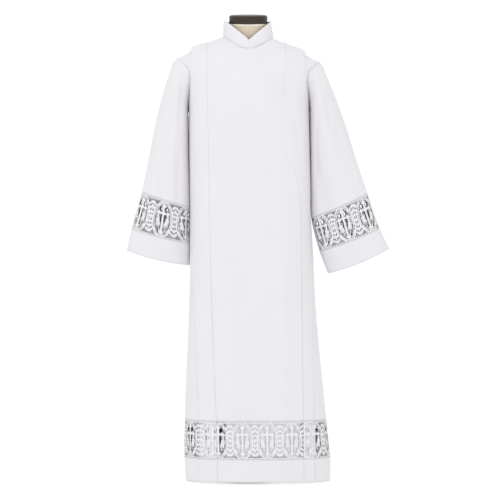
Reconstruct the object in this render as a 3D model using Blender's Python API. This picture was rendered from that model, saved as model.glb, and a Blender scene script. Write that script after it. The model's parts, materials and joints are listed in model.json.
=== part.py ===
"""Alb (ankle-length church robe) on a limbless dress form.

Metres, +Z up, the wearer's front towards -Y.  The origin is at the underside centre of the stand's base.
Tables are in millimetres.  "Left" and "right" are as seen from the front, so left is -X.
"""
from bisect import bisect_right
from collections import namedtuple
from itertools import product
from math import acos, atan2, cos, exp, pi, radians, sin, tan

import bpy
import numpy as np
from mathutils import Vector, geometry

MM = 0.001

# ---------------------------------------------------------------- driving dimensions (mm)
CLOTH = 1.2                  # thickness of the cloth walls
COLLAR_CLOTH = 1.6           # interfaced collar
SEAM_GAP = 0.3
PLEAT_PITCH = 2.2            # from one layer of a pressed pleat to the next
UNDERARM = 1223.0            # height of the underarm point
RIDGE = UNDERARM + 1         # level of the shoulder ridge
HEM_TOP = 82.0               # top of the plain hem band
LACE_TOP = 205.0             # top of the hem lace
HEM_SIDE, HEM_FRONT = 4.0, 8.0   # hem clearance over the floor at the sides and at centre front
SEAM_FORWARD = 22.0          # shoulder seam in front of the shoulder ridge
NECK_HALF, NECK_FRONT, NECK_BACK = 82.0, 84.0, 72.0   # neckline loop in plan
ARMHOLE_FRONT, ARMHOLE_BACK = 70.0, 70.0              # armhole loop, in front of and behind the side seam
LACE_PITCH = 81.0            # one lace repeat
LACE_CENTRE_FRONT, LACE_CENTRE_BACK = -19.0, 30.0     # x of one medallion of the hem lace
FRONT, BACK = -1, 1

# ---------------------------------------------------------------- section tables (mm)
Section = namedtuple("Section", "z left right front back power")
BODY = [
    Section(0, -206, 270, 160, 166, 2.3),
    Section(60, -210, 271, 160, 165, 2.3),
    Section(120, -211, 266, 159, 163, 2.3),
    Section(205, -209, 257, 157, 160, 2.35),
    Section(310, -206, 246, 153, 156, 2.4),
    Section(440, -200, 233, 148, 150, 2.5),
    Section(600, -194, 220, 142, 142, 2.6),
    Section(750, -190, 213, 138, 134, 2.7),
    Section(900, -190, 205, 134, 128, 2.8),
    Section(1060, -194, 203, 131, 126, 2.9),
    Section(UNDERARM, -196, 201, 129, 126, 3.0),
]

Armhole = namedtuple("Armhole", "share half_width")
ARMHOLE = [
    Armhole(0.0, 198.5),
    Armhole(0.2, 194.5),
    Armhole(0.38, 191),
    Armhole(0.53, 196),
    Armhole(0.62, 208),
    Armhole(0.76, 223),
    Armhole(1.0, 237),
]

Ridge = namedtuple("Ridge", "x z")
SHOULDER = [
    Ridge(0, 1462),
    Ridge(82, 1462),
    Ridge(110, 1451),
    Ridge(135, 1444),
    Ridge(170, 1434),
    Ridge(183, 1426),
    Ridge(192, 1415),
    Ridge(237, 1386),
]
SHOULDER_TILT = 0.028        # the left shoulder hangs a little higher
EDGE_RISE = 0.7              # how early the armhole's edge rises from the underarm (below 1: early)
CHEST_ROUND = 0.85           # how full the chest and the back stay up to the shoulder (below 1: fuller)

Pleats = namedtuple("Pleats", "z left_out left_in right_in right_out")
FRONT_PLEATS = [
    Pleats(0, -157, -98, 180, 213),
    Pleats(205, -158, -103, 178, 211),
    Pleats(440, -166, -113, 175, 207),
    Pleats(600, -173, -118, 173, 204),
    Pleats(760, -183, -123, 171, 200),
    Pleats(930, -187, -126, 168, 190),
    Pleats(1010, -187, -128, 152, 186),
    Pleats(1080, -187, -129, 120, 186),
    Pleats(1300, -187, -134, 119, 186),
    Pleats(1425, -182, -135, 120, 184),
]
BACK_PLEATS = [
    Pleats(0, -172, -115, 165, 222),
    Pleats(205, -170, -116, 158, 214),
    Pleats(600, -172, -118, 138, 196),
    Pleats(930, -180, -124, 128, 186),
    Pleats(1223, -186, -132, 124, 184),
    Pleats(1425, -182, -135, 120, 184),
]

# Soft folds, as ridges (depth > 0) and troughs that run from one point of the front view to another.
Fold = namedtuple("Fold", "x_top z_top x_low z_low half_width depth")
FOLD_BEFORE, FOLD_AFTER, FOLD_FADE = 0.25, 0.35, 0.4   # shares of a fold's length: its run past each end
FRONT_FOLDS = [
    Fold(-16, 850, 30, 250, 62, -9),
    Fold(-70, 700, -55, 190, 40, 5),
    Fold(110, 760, 118, 200, 45, 6),
    Fold(128, 1270, 160, 1130, 24, -4),
    Fold(60, 1330, 90, 1000, 60, -3),
    Fold(250, 560, 246, 150, 26, 8),
    Fold(-206, 700, -196, 240, 26, 6),
]
BACK_FOLDS = [
    Fold(-60, 1120, -75, 220, 48, -8),
    Fold(0, 900, 12, 180, 46, 7),
    Fold(66, 1060, 92, 200, 48, -7),
    Fold(-190, 640, -196, 160, 30, 7),
    Fold(232, 600, 250, 160, 30, 7),
]

# Sleeve sections, seen from the front: the outer and the inner end of each, its depth either way, and how
# much lower its front and back hang.
Ring = namedtuple("Ring", "out_x out_z in_x in_z front back droop")
LEFT_SLEEVE = [
    Ring(-260, 1342, -203, 1196, 78, 79, 0),
    Ring(-283, 1268, -201, 1136, 74, 75, 0),
    Ring(-304, 1183, -199.5, 1065, 68, 69, 0),
    Ring(-327, 1069, -198.5, 985, 61, 62, 2),
    Ring(-351, 952, -198, 903, 54, 55, 4),
    Ring(-384.5, 830, -198, 782, 48, 49, 6),
    Ring(-401, 760, -199, 711, 45, 46, 8),
]
RIGHT_SLEEVE = [
    Ring(256, 1338, 208, 1192, 78, 79, 0),
    Ring(286, 1266, 207, 1128, 74, 75, 0),
    Ring(317, 1181, 207.5, 1052, 68, 69, 0),
    Ring(353, 1066, 208.5, 960, 61, 62, 2),
    Ring(393, 947, 210.5, 868, 54, 55, 4),
    Ring(433, 832, 237, 756, 48, 49, 6),
    Ring(464.5, 766, 263, 684, 45, 46, 8),
]
LACE_RING, CUFF_RING = 4, 5  # the rows at which a sleeve's lace and its cuff start
SEAM_RINGS = 2               # the sections before the first row: the armhole's and the one that swells out
CROWN_OUT, CROWN_DROP = 7.0, 1.0  # how the cloth swells out beside the armhole seam
SLEEVE_SWELL = 0.65          # 1 gives oval sections, less gives fuller ones
SLEEVE_LACE_STEPS = 16       # points along half a sleeve's lace

# The stand collar, by the angle round the neck from centre back (0) to centre front (180).
COLLAR_TOP = 1516.0
COLLAR_TOP_HALF, COLLAR_TOP_FRONT, COLLAR_TOP_BACK, COLLAR_TOP_SHIFT = 76.0, 70.0, 68.0, -3.5
COLLAR_NOTCH = 1449.0        # height at which the two mitred edges cross
COLLAR_LAP, COLLAR_LAP_Z = 18.0, 1428.0   # each end runs this far past centre front, down to this height
COLLAR_LAYERS = 2.4          # from the over collar's middle to the under collar's
COLLAR_RISE = 1.6            # from the middle of the neck edge to the collar over it
COLLAR_SINK_FROM, COLLAR_SINK_OVER = radians(120), radians(40)   # where it slips under the over collar
COLLAR_STEPS, COLLAR_ROWS = 18, 2

# The front that wraps under: its free edge from the hem to the neck.
Edge = namedtuple("Edge", "z x")
UNDER_EDGE = [
    Edge(90, -78),
    Edge(600, -62),
    Edge(1100, -38),
    Edge(1423, -18),
]
UNDER_HEM = 92.0             # its lower edge, behind the hem lace
UNDER_SUNK = 6.0             # from the front's middle to its own
UNDER_SHORT = 6.0            # its other edge stops this short of the right pleat
UNDER_STEPS = 6

Turn = namedtuple("Turn", "z half_width front back")
TORSO = [
    Turn(733, 128, 78, 84),
    Turn(738, 146, 94, 100),
    Turn(752, 153, 100, 106),
    Turn(840, 160, 106, 110),
    Turn(960, 150, 98, 98),
    Turn(1090, 164, 110, 106),
    Turn(1210, 177, 118, 114),
    Turn(1290, 184, 112, 112),
    Turn(1345, 184, 92, 98),
    Turn(1380, 172, 72, 82),
    Turn(1402, 150, 60, 70),
    Turn(1420, 118, 55, 62),
    Turn(1434, 88, 54, 58),
    Turn(1446, 68, 55, 56),
    Turn(1462, 61, 58, 56),
    Turn(1508.6, 60, 59, 59),
]
TORSO_SIDES, TORSO_SQUARE = 28, 0.87             # 1 gives oval sections, less gives squarer ones
NECK_BASE, NECK_LEAN = 1440.0, tan(radians(8))   # above its base the neck leans forward,
NECK_EASE = 50.0                                 # fully so this much higher
CAP_RADIUS, CAP_BOTTOM, CAP_TOP, CAP_ROUND, CAP_SIDES = 63.0, 1508.6, 1535.5, 6.0, 32
CAP_ROUND_STEPS = 3
CHAMFER = 2.0                # on the edges of the cap's underside and of the base
POLE_RADIUS, POLE_SIDES = 13.0, 20
BASE_RADIUS, BASE_THICK, BASE_SIDES = 140.0, 6.0, 40

# Gaps of half a lace repeat, which has the other half mirrored: centre from the medallion's centre, half
# sizes, corners, and how far the gap leans from the upright, clockwise, in degrees.
Gap = namedtuple("Gap", "x y half_width half_height corners lean")
LACE_GAPS = [
    Gap(14.5, 50, 7.5, 2.3, 4, 27),     # under the top of the rim
    Gap(9.5, 36, 4.6, 6.0, 6, 0),       # over the cross's arm
    Gap(6.3, 4, 2.5, 14.0, 4, 0),       # beside its shaft
    Gap(9.0, -37, 4.2, 8.0, 6, 0),      # beside its foot
    Gap(14.5, -50, 7.5, 2.3, 4, -27),   # over the bottom of the rim
]
GAP_MARGIN = 3.0             # from a gap to a fold or an edge of its band

Finish = namedtuple("Finish", "name colour roughness metallic")
CLOTH_FINISH = Finish("white_cloth", (0.86, 0.86, 0.88), 0.8, 0.0)
LACE_FINISH = Finish("white_lace", (0.84, 0.84, 0.86), 0.85, 0.0)
LINEN_FINISH = Finish("linen", (0.62, 0.56, 0.46), 0.9, 0.0)
CAP_FINISH = Finish("dark_cap", (0.06, 0.045, 0.035), 0.35, 0.0)
STEEL_FINISH = Finish("painted_steel", (0.8, 0.8, 0.8), 0.45, 0.3)


# ---------------------------------------------------------------- curves through the tables
curves = {}


def curve_through(table, column):
    """Knots, values and slopes of a smooth curve that never overshoots its rows (monotone cubic)."""
    x = [float(row[0]) for row in table]
    y = [float(getattr(row, column)) for row in table]
    slopes = [(y[i + 1] - y[i]) / (x[i + 1] - x[i]) for i in range(len(x) - 1)]
    tangents = [slopes[0]]
    for before, after in zip(slopes, slopes[1:]):
        tangents.append(2 * before * after / (before + after) if before * after > 0 else 0.0)
    tangents.append(slopes[-1])
    return x, y, tangents


def smooth(table, column, at):
    """A table's column as a smooth function of its first column."""
    key = (id(table), column)
    if key not in curves:
        curves[key] = curve_through(table, column)
    x, y, tangent = curves[key]
    at = min(max(at, x[0]), x[-1])
    i = min(bisect_right(x, at) - 1, len(x) - 2)
    step = x[i + 1] - x[i]
    t = (at - x[i]) / step
    return (
        y[i] * (1 + 2 * t) * (1 - t) ** 2
        + tangent[i] * step * t * (1 - t) ** 2
        + y[i + 1] * t * t * (3 - 2 * t)
        - tangent[i + 1] * step * t * t * (1 - t)
    )


def ease(t):
    """0 to 1, level at both ends."""
    t = min(max(t, 0.0), 1.0)
    return t * t * (3 - 2 * t)


def power(value, exponent):
    """A signed power, for rounded-square sections."""
    return abs(value) ** exponent * (1 if value >= 0 else -1)


def ridge_z(x):
    return smooth(SHOULDER, "z", abs(x)) - SHOULDER_TILT * x


# ---------------------------------------------------------------- the body's surface
# A level is a height up to the underarm, and above it the underarm's height plus a share: 0 at the
# underarm, 1 at the shoulder ridge, and on to 2 at the underarm on the other side.
def fold_depth(folds, x, z):
    """How far the soft folds move the point of the front or back view out."""
    moved = 0.0
    for fold in folds:
        along = (fold.z_top - z) / (fold.z_top - fold.z_low)
        if -FOLD_BEFORE < along < 1 + FOLD_AFTER:
            middle = fold.x_top + (fold.x_low - fold.x_top) * along
            ends = ease((along + FOLD_BEFORE) / FOLD_FADE) * ease((1 + FOLD_AFTER - along) / FOLD_FADE)
            moved += fold.depth * ends * exp(-(((x - middle) / fold.half_width) ** 2))
    return moved


def body_point(angle, level, side):
    """A point of the cloth's middle surface. angle is 0 at the right side seam and pi at the left one."""
    across, depth = cos(angle), sin(angle)
    share = level - UNDERARM
    height = min(level, UNDERARM)
    left, right = smooth(BODY, "left", height), smooth(BODY, "right", height)
    exponent = 2 / smooth(BODY, "power", height)
    reach = smooth(BODY, "front" if side == FRONT else "back", height)
    inward = power(depth, exponent)
    if share <= 0:
        x = (left + right) / 2 + (right - left) / 2 * power(across, exponent)
        folds = FRONT_FOLDS if side == FRONT else BACK_FOLDS
        y = reach * inward + fold_depth(folds, x, level) * ease(depth * 2)
        z = level
    else:
        if share > 1:
            side, share = -side, 2 - share
            reach = smooth(BODY, "front" if side == FRONT else "back", height)
        half = smooth(ARMHOLE, "half_width", share)
        shift = (left + right) / 2 * (1 - share)
        x = shift + half * power(across, exponent)
        loop = ARMHOLE_FRONT if side == FRONT else ARMHOLE_BACK
        edge_y = loop * sin(pi * share)
        edge_rise = ((1 - cos(pi * share)) / 2) ** EDGE_RISE
        edge_z = UNDERARM + (ridge_z(half * (1 if across > 0 else -1)) - UNDERARM) * edge_rise
        middle_y = reach * cos(pi / 2 * share) ** CHEST_ROUND
        middle_z = UNDERARM + (ridge_z(x) - UNDERARM) * sin(pi / 2 * share) ** CHEST_ROUND
        folds = FRONT_FOLDS if side == FRONT else BACK_FOLDS
        fold = fold_depth(folds, x, middle_z) * ease((1 - share) * 3) * ease(depth * 2)
        y = edge_y + (middle_y - edge_y) * inward + fold
        z = edge_z + (middle_z - edge_z) * inward
    return Vector((x, y * side, z))


def hem_lift(point):
    """The hem clears the floor a little more at centre front and back than at the sides."""
    lift = HEM_SIDE + (HEM_FRONT - HEM_SIDE) * min(abs(point.y) / BODY[0].front, 1.0) ** 2
    return lift * (1 - ease(point.z / HEM_TOP))


ANGLE_STEP, SHARE_STEP, HEIGHT_STEP = 0.002, 0.001, 1.0   # small steps that give the surface's directions
EDGE_MARGIN = 0.05                     # angle in from a side seam at which the seam's own directions are read
SEAM_ANGLE, SEAM_SHARE = 1e-4, 1e-6    # how far in from the side seam and the underarm a sleeve is set


def body_frame(angle, level, side):
    """The point with its unit vectors: across the panel towards +X, and out of the body."""
    point = body_point(angle, level, side)
    near = min(max(angle, EDGE_MARGIN), pi - EDGE_MARGIN)
    across = body_point(near - ANGLE_STEP, level, side) - body_point(near + ANGLE_STEP, level, side)
    across.normalize()
    fall = SHARE_STEP if level > UNDERARM + SHARE_STEP else HEIGHT_STEP
    if UNDERARM < level <= UNDERARM + SHARE_STEP:
        up = body_point(near, level + SHARE_STEP, side) - body_point(near, level, side)
    else:
        up = body_point(near, level, side) - body_point(near, level - fall, side)
    if side == BACK:
        out = up.cross(across)
    else:
        out = across.cross(up)
    out.normalize()
    point.z += hem_lift(point)
    return point, across, out


def angle_at(x, level):
    """The angle at which a row has this x."""
    share = level - UNDERARM
    height = min(level, UNDERARM)
    left, right = smooth(BODY, "left", height), smooth(BODY, "right", height)
    centre, half = (left + right) / 2, (right - left) / 2
    if share > 0:
        share = min(share, 2 - share)
        half = smooth(ARMHOLE, "half_width", share)
        centre *= 1 - share
    ratio = min(max((x - centre) / half, -0.999), 0.999)
    return acos(power(ratio, smooth(BODY, "power", height) / 2))


# ---------------------------------------------------------------- columns of a body panel
# Across a panel: how far round the fold a column lies, its layer, and which way the cloth's face looks
# there, across the panel and out of it.  A box pleat is two folds under a third layer.
Layer = namedtuple("Layer", "edge nudge level face_across face_out")
FOLD_R = PLEAT_PITCH / 2
MID_GAP = CLOTH / 2 + SEAM_GAP
BOX_PLEAT = [
    Layer("out", 0, 0, 0, 1),
    Layer("mid", -MID_GAP - FOLD_R, 0, 0, 1),
    Layer("mid", -MID_GAP, 0.5, -1, 0),
    Layer("mid", -MID_GAP - FOLD_R, 1, 0, -1),
    Layer("out", FOLD_R, 1, 0, -1),
    Layer("out", 0, 1.5, -1, 0),
    Layer("out", FOLD_R, 2, 0, 1),
    Layer("mid", 0, 2, 0, 1),
    Layer("in", -FOLD_R, 2, 0, 1),
    Layer("in", 0, 1.5, 1, 0),
    Layer("in", -FOLD_R, 1, 0, -1),
    Layer("mid", MID_GAP + FOLD_R, 1, 0, -1),
    Layer("mid", MID_GAP, 0.5, 1, 0),
    Layer("mid", MID_GAP + FOLD_R, 0, 0, 1),
    Layer("in", 0, 0, 0, 1),
]
Column = namedtuple("Column", "zone share nudge level face_across face_out")
SIDE_STEPS = (0, 0.45)                 # shares of the way from a side seam to its pleat
NECK_STEPS = 6                         # columns' spaces along the neckline
EVEN_BELOW = 700.0                     # up to this height those columns are spread evenly


def neck_shares():
    """Shares of the way from the left pleat to the right one, of the columns that reach the neckline."""
    top = FRONT_PLEATS[-1]
    span = top.right_in - top.left_in
    places = [-NECK_HALF * cos(pi * i / NECK_STEPS) for i in range(NECK_STEPS + 1)]
    return [(x - top.left_in) / span for x in places]


def panel_columns():
    columns = [Column("left_side", s, 0, 0, 0, 1) for s in SIDE_STEPS]
    columns += [Column("left_" + c.edge, 0, *c[1:]) for c in BOX_PLEAT]
    columns += [Column("middle", s, 0, 0, 0, 1) for s in neck_shares()]
    for c in reversed(BOX_PLEAT):
        columns.append(Column("right_" + c.edge, 0, -c.nudge, c.level, -c.face_across, c.face_out))
    columns += [Column("right_side", s, 0, 0, 0, 1) for s in reversed(SIDE_STEPS)]
    return columns


def column_x(column, level, side):
    """x of a column at a level, or None in the side zones."""
    pleats = FRONT_PLEATS if side == FRONT else BACK_PLEATS
    share = level - UNDERARM
    z = level
    if share > 0:
        z = UNDERARM + (pleats[-1].z - UNDERARM) * min(share, 1)
    edge = {name: smooth(pleats, name, z) for name in Pleats._fields[1:]}
    zone, _, place = column.zone.partition("_")
    if zone == "middle":
        shares = neck_shares()
        even = (shares.index(column.share) + 1) / (len(shares) + 1)
        upper = ease((z - EVEN_BELOW) / (UNDERARM - EVEN_BELOW))
        part = even + (column.share - even) * upper
        return edge["left_in"] + (edge["right_in"] - edge["left_in"]) * part
    if place == "side":
        return None
    if place == "mid":
        return (edge[zone + "_out"] + edge[zone + "_in"]) / 2 + column.nudge
    return edge[zone + "_" + place] + column.nudge


def column_angle(column, level, side):
    x = column_x(column, level, side)
    if x is not None:
        return angle_at(x, level)
    zone = column.zone.partition("_")[0]
    pleat = Column(zone + "_out", 0, 0, 0, 0, 1)
    reach = angle_at(column_x(pleat, level, side), level)
    if zone == "left":
        return pi + (reach - pi) * column.share
    return reach * column.share


def column_pair(column, level, side):
    """The outer and inner point of the wall."""
    point, across, out = body_frame(column_angle(column, level, side), level, side)
    middle = point + out * column.level * PLEAT_PITCH
    face = across * column.face_across + out * column.face_out
    return middle + face * (CLOTH / 2), middle - face * (CLOTH / 2)


HALVINGS = 24
TOPS_BEFORE_RIDGE, TOPS_BEHIND_RIDGE = (0.3, 1.0), (1.0, 1.6)   # the shares between which columns end


def top_level(column, side):
    """The share at which a column ends: on the neckline, or at the shoulder seam in front of the ridge."""
    x = column_x(column, RIDGE, side)
    in_neck = x is not None and abs(x) < NECK_HALF - 1
    low, high = TOPS_BEFORE_RIDGE if side == FRONT or in_neck else TOPS_BEHIND_RIDGE
    for _ in range(HALVINGS):
        share = (low + high) / 2
        point = body_point(column_angle(column, UNDERARM + share, side), UNDERARM + share, side)
        limit = SEAM_FORWARD * -side
        if in_neck:
            limit = (NECK_FRONT if side == FRONT else NECK_BACK) * (1 - (point.x / NECK_HALF) ** 2) ** 0.5
        if point.y * side > limit:
            low = share
        else:
            high = share
    return share


# ---------------------------------------------------------------- walls
def closed_wall(name, outer, inner, finish, tube=False):
    """One closed wall from two grids of points, its face and its back. A tube's rows close on themselves.
    Seen from the front every quad is split the same way, so that layers can't cross between their points."""
    rows, columns = len(outer), len(outer[0])
    points = [p for row in outer for p in row] + [p for row in inner for p in row]
    back = rows * columns
    faces = []

    def quad(a, b, c, d):
        faces.append((a, b, c))
        faces.append((a, c, d))

    for r in range(rows - 1):
        for c in range(columns if tube else columns - 1):
            beside = (c + 1) % columns
            a, b = r * columns + c, r * columns + beside
            d, e = a + columns, b + columns
            if outer[r][beside].x > outer[r][c].x:
                quad(a, b, e, d)
                quad(back + a, back + d, back + e, back + b)
            else:
                quad(b, e, d, a)
                quad(back + b, back + a, back + d, back + e)
    for c in range(columns if tube else columns - 1):
        a, b = c, (c + 1) % columns
        quad(b, a, back + a, back + b)
        a, b = a + (rows - 1) * columns, b + (rows - 1) * columns
        quad(a, b, back + b, back + a)
    if not tube:
        for r in range(rows - 1):
            a, d = r * columns, (r + 1) * columns
            quad(a, d, back + d, back + a)
            a, d = a + columns - 1, d + columns - 1
            quad(d, a, back + a, back + d)
    return add_object(name, points, faces, finish)


def add_object(name, points, faces, finish):
    """A closed mesh from points in millimetres, its faces turned outwards."""
    mesh = bpy.data.meshes.new(name)
    mesh.from_pydata([p * MM for p in points], [], faces)
    volume = sum(points[a].dot(points[b].cross(points[c])) for a, b, c in triangles(faces))
    if volume < 0:
        mesh.flip_normals()
    mesh.validate()
    mesh.shade_smooth()
    mesh.set_sharp_from_angle(angle=radians(40))
    mesh.materials.append(material(finish))
    obj = bpy.data.objects.new(name, mesh)
    bpy.context.collection.objects.link(obj)
    return obj


def triangles(faces):
    for face in faces:
        for i in range(1, len(face) - 1):
            yield face[0], face[i], face[i + 1]


def material(finish):
    found = bpy.data.materials.get(finish.name)
    if found:
        return found
    made = bpy.data.materials.new(finish.name)
    made.use_nodes = True
    shader = made.node_tree.nodes["Principled BSDF"]
    shader.inputs["Base Color"].default_value = (*finish.colour, 1)
    shader.inputs["Roughness"].default_value = finish.roughness
    shader.inputs["Metallic"].default_value = finish.metallic
    return made


# ---------------------------------------------------------------- body panels
LOW_LEVELS = (350, 500, 650, 790, 920, 1030, 1110, UNDERARM)
TOP_ROWS = 7


def body_panel(name, side):
    """From the lace up to the armholes, the shoulder seam and the neckline."""
    columns = panel_columns()
    tops = [top_level(column, side) for column in columns]
    levels = [[LACE_TOP + SEAM_GAP] * len(columns)]
    levels += [[level] * len(columns) for level in LOW_LEVELS]
    for row in range(1, TOP_ROWS + 1):
        levels.append([UNDERARM + top * row / TOP_ROWS for top in tops])
    outer, inner = [], []
    for row in levels:
        pairs = [column_pair(c, level, side) for c, level in zip(columns, row)]
        outer.append([apart(pair[0], side) for pair in pairs])
        inner.append([apart(pair[1], side) for pair in pairs])
    if side == BACK:
        outer, inner = clear_of_seam(outer), clear_of_seam(inner)
    return closed_wall(name, outer, inner, CLOTH_FINISH)


def apart(point, side):
    """Half the side seam's gap, away from the other panel."""
    return point + Vector((0, side * SEAM_GAP / 2, 0))


def clear_of_seam(grid):
    """Draws a back panel's last row back from the shoulder seam by the seam's gap."""
    grid = [list(row) for row in grid]
    for column, point in enumerate(grid[-1]):
        pull = grid[-2][column] - point
        grid[-1][column] = point + pull.normalized() * SEAM_GAP
    return grid


def hem_band(name, side):
    outer, inner = [], []
    for level in (0.0, HEM_TOP - SEAM_GAP):
        pairs = [column_pair(c, level, side) for c in panel_columns()]
        outer.append([apart(pair[0], side) for pair in pairs])
        inner.append([apart(pair[1], side) for pair in pairs])
    return closed_wall(name, outer, inner, CLOTH_FINISH)


# ---------------------------------------------------------------- lace
def gap_outline(gap, mirror, u, v):
    """One gap's corners, anticlockwise, about its place on the chart. mirror is 1 or -1."""
    lean = radians(gap.lean) * mirror
    corners = []
    for i in range(gap.corners):
        turn = 2 * pi * (i + 0.5) / gap.corners
        x = gap.half_width * cos(turn) / cos(pi / gap.corners)
        y = gap.half_height * sin(turn) / cos(pi / gap.corners)
        x, y = x * cos(lean) + y * sin(lean), y * cos(lean) - x * sin(lean)
        corners.append((u + gap.x * mirror + x, v + gap.y + y))
    return corners


def lace_gaps(last, height, centre, solid_spans):
    """Outlines of all the gaps in a band up to u=last, clear of its folds and hidden layers."""
    outlines = []
    repeats = range(int(-centre / LACE_PITCH) - 2, int((last - centre) / LACE_PITCH) + 3)
    for repeat in repeats:
        for gap, mirror in product(LACE_GAPS, (1, -1)):
            corners = gap_outline(gap, mirror, centre + repeat * LACE_PITCH, height / 2)
            low, high = min(c[0] for c in corners) - GAP_MARGIN, max(c[0] for c in corners) + GAP_MARGIN
            hidden = any(low < b and high > a for a, b in solid_spans)
            if low > 0 and high < last and not hidden:
                outlines.append(corners)
    return outlines


def cut_band(name, place, folds, marks, last, height, gaps):
    """A wall from a flat chart with gaps: place(u, v) gives the outer and the inner point.
    folds are lines across the whole chart, marks only points on its two long edges."""
    us = sorted({0.0, last, *folds, *marks})
    corners, edges = [], []

    def loop(outline):
        start = len(corners)
        corners.extend(Vector(c) for c in outline)
        edges.extend((start + i, start + (i + 1) % len(outline)) for i in range(len(outline)))

    loop([(u, 0.0) for u in us] + [(u, height) for u in reversed(us)])
    for i, u in enumerate(us):
        if u in folds:
            edges.append((i, 2 * len(us) - 1 - i))
    for outline in gaps:
        loop(outline)
    points, _, chart_faces, *_ = geometry.delaunay_2d_cdt(corners, edges, [], 0, 1e-5)
    chart = [f for f in chart_faces if not in_a_gap(points, f, gaps)]
    used = sorted({i for f in chart for i in f})
    order = {old: new for new, old in enumerate(used)}
    chart = [tuple(order[i] for i in f) for f in chart]
    pairs = [place(points[i].x, points[i].y) for i in used]
    count = len(used)
    borders = {(a, b) for f in chart for a, b in zip(f, f[1:] + f[:1])}
    walls = chart + [tuple(count + i for i in reversed(f)) for f in chart]
    for a, b in sorted(borders):
        if (b, a) not in borders:
            walls.append((b, a, count + a))
            walls.append((b, count + a, count + b))
    return add_object(name, [p[0] for p in pairs] + [p[1] for p in pairs], walls, LACE_FINISH)


def in_a_gap(points, face, gaps):
    x = sum(points[i].x for i in face) / len(face)
    y = sum(points[i].y for i in face) / len(face)
    return any(inside(outline, x, y) for outline in gaps)


def inside(outline, x, y):
    """True if the point is in the convex outline, whose corners run anticlockwise."""
    for (ax, ay), (bx, by) in zip(outline, outline[1:] + outline[:1]):
        if (bx - ax) * (y - ay) - (by - ay) * (x - ax) < 0:
            return False
    return True


def hem_lace(name, side, centre_x):
    """The lace between panel and hem band. Its chart's u runs along the cloth through every fold."""
    columns = panel_columns()
    height = LACE_TOP - HEM_TOP
    middle = (LACE_TOP + HEM_TOP) / 2
    centres = []
    for column in columns:
        face, back = column_pair(column, middle, side)
        centres.append((face + back) / 2)
    lengths = [0.0]
    for a, b in zip(centres, centres[1:]):
        lengths.append(lengths[-1] + (b - a).length)
    start = len([c for c in columns if c.zone.startswith("left")])
    start_x = column_x(columns[start], middle, side)
    centre = lengths[start] + centre_x - start_x

    def place(u, v):
        i = min(max(int(np.searchsorted(lengths, u, side="right")) - 1, 0), len(lengths) - 2)
        t = (u - lengths[i]) / (lengths[i + 1] - lengths[i])
        a, b = columns[i], columns[i + 1]
        level = HEM_TOP + v
        point, across, out = body_frame(
            column_angle(a, level, side) * (1 - t) + column_angle(b, level, side) * t, level, side
        )
        middle_point = point + out * PLEAT_PITCH * (a.level + (b.level - a.level) * t)
        face = across * (a.face_across * (1 - t) + b.face_across * t)
        face += out * (a.face_out * (1 - t) + b.face_out * t)
        face.normalize()
        return (
            apart(middle_point + face * (CLOTH / 2), side),
            apart(middle_point - face * (CLOTH / 2), side),
        )

    solid_spans = []
    for i in range(len(columns) - 1):
        a, b = columns[i], columns[i + 1]
        top_layer = a.level == 2 and b.level == 2
        open_base = a.level == 0 and b.level == 0 and not (a.zone + b.zone).count("_mid")
        if not top_layer and not open_base:
            solid_spans.append((lengths[i], lengths[i + 1]))
    gaps = lace_gaps(lengths[-1], height, centre, solid_spans)
    folds = [u for u in lengths[1:-1] if any(a <= u <= b for a, b in solid_spans)]
    marks = [u for u in lengths[1:-1] if u not in folds]
    return cut_band(name, place, folds, marks, lengths[-1], height, gaps)


# ---------------------------------------------------------------- sleeves
def armhole_loop():
    """Shares of the armhole from underarm, up the front, over the shoulder and down the back."""
    front_top = top_level(Column("left_side", 0, 0, 0, 0, 1), FRONT)
    back_top = top_level(Column("left_side", 0, 0, 0, 0, 1), BACK)
    front = [front_top * i / TOP_ROWS for i in range(TOP_ROWS + 1)]
    back = [back_top * i / TOP_ROWS for i in range(TOP_ROWS)]
    return front + [2 - share for share in reversed(back)][:-1]


def sleeve_rings(table, hand):
    """Points of every sleeve section, the first of them on the armhole. hand is -1 on the left."""
    shares = armhole_loop()
    angle = SEAM_ANGLE if hand > 0 else pi - SEAM_ANGLE
    rings = [[body_point(angle, UNDERARM + max(share, SEAM_SHARE), FRONT) for share in shares]]
    rings.append([point + Vector((hand * CROWN_OUT, 0, -CROWN_DROP)) for point in rings[0]])
    for row in table:
        rings.append([sleeve_point(row, share) for share in shares])
    return rings


def sleeve_point(row, share):
    """A point of a flattened oval section; share is 0 and 2 at its inner end, 1 at its outer end."""
    out, inn = Vector((row.out_x, 0, row.out_z)), Vector((row.in_x, 0, row.in_z))
    along = (1 - cos(pi * share)) / 2
    swell = abs(sin(pi * share)) ** SLEEVE_SWELL
    depth = -row.front * swell if share < 1 else row.back * swell
    return inn + (out - inn) * along + Vector((0, depth, -row.droop * sin(pi * share) ** 2))


def ring_faces(rings):
    """Unit normals of a tube's middle surface, from its neighbours along and around."""
    count = len(rings[0])
    normals = []
    for r, ring in enumerate(rings):
        above, below = rings[max(r - 1, 0)], rings[min(r + 1, len(rings) - 1)]
        row = []
        for c in range(count):
            around = ring[(c + 1) % count] - ring[c - 1]
            along = below[c] - above[c]
            row.append(around.cross(along).normalized())
        normals.append(row)
    return normals


def sleeve_tube(name, table, hand, first, last):
    """The part of a sleeve between two of its sections."""
    rings = sleeve_rings(table, hand)
    normals = ring_faces(rings)
    if hand > 0:
        normals = [[n * -1 for n in row] for row in normals]
    if first == 0:
        rings[0] = armhole_clearance(rings[0], normals[0], hand)
    outer, inner = [], []
    for r in range(first, last + 1):
        nudge = Vector()
        if r == first and r > 0:
            nudge = (mean(rings[r + 1]) - mean(rings[r])).normalized() * SEAM_GAP
        outer.append([p + n * (CLOTH / 2) + nudge for p, n in zip(rings[r], normals[r])])
        inner.append([p - n * (CLOTH / 2) + nudge for p, n in zip(rings[r], normals[r])])
    return closed_wall(name, outer, inner, CLOTH_FINISH, tube=True)


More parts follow.
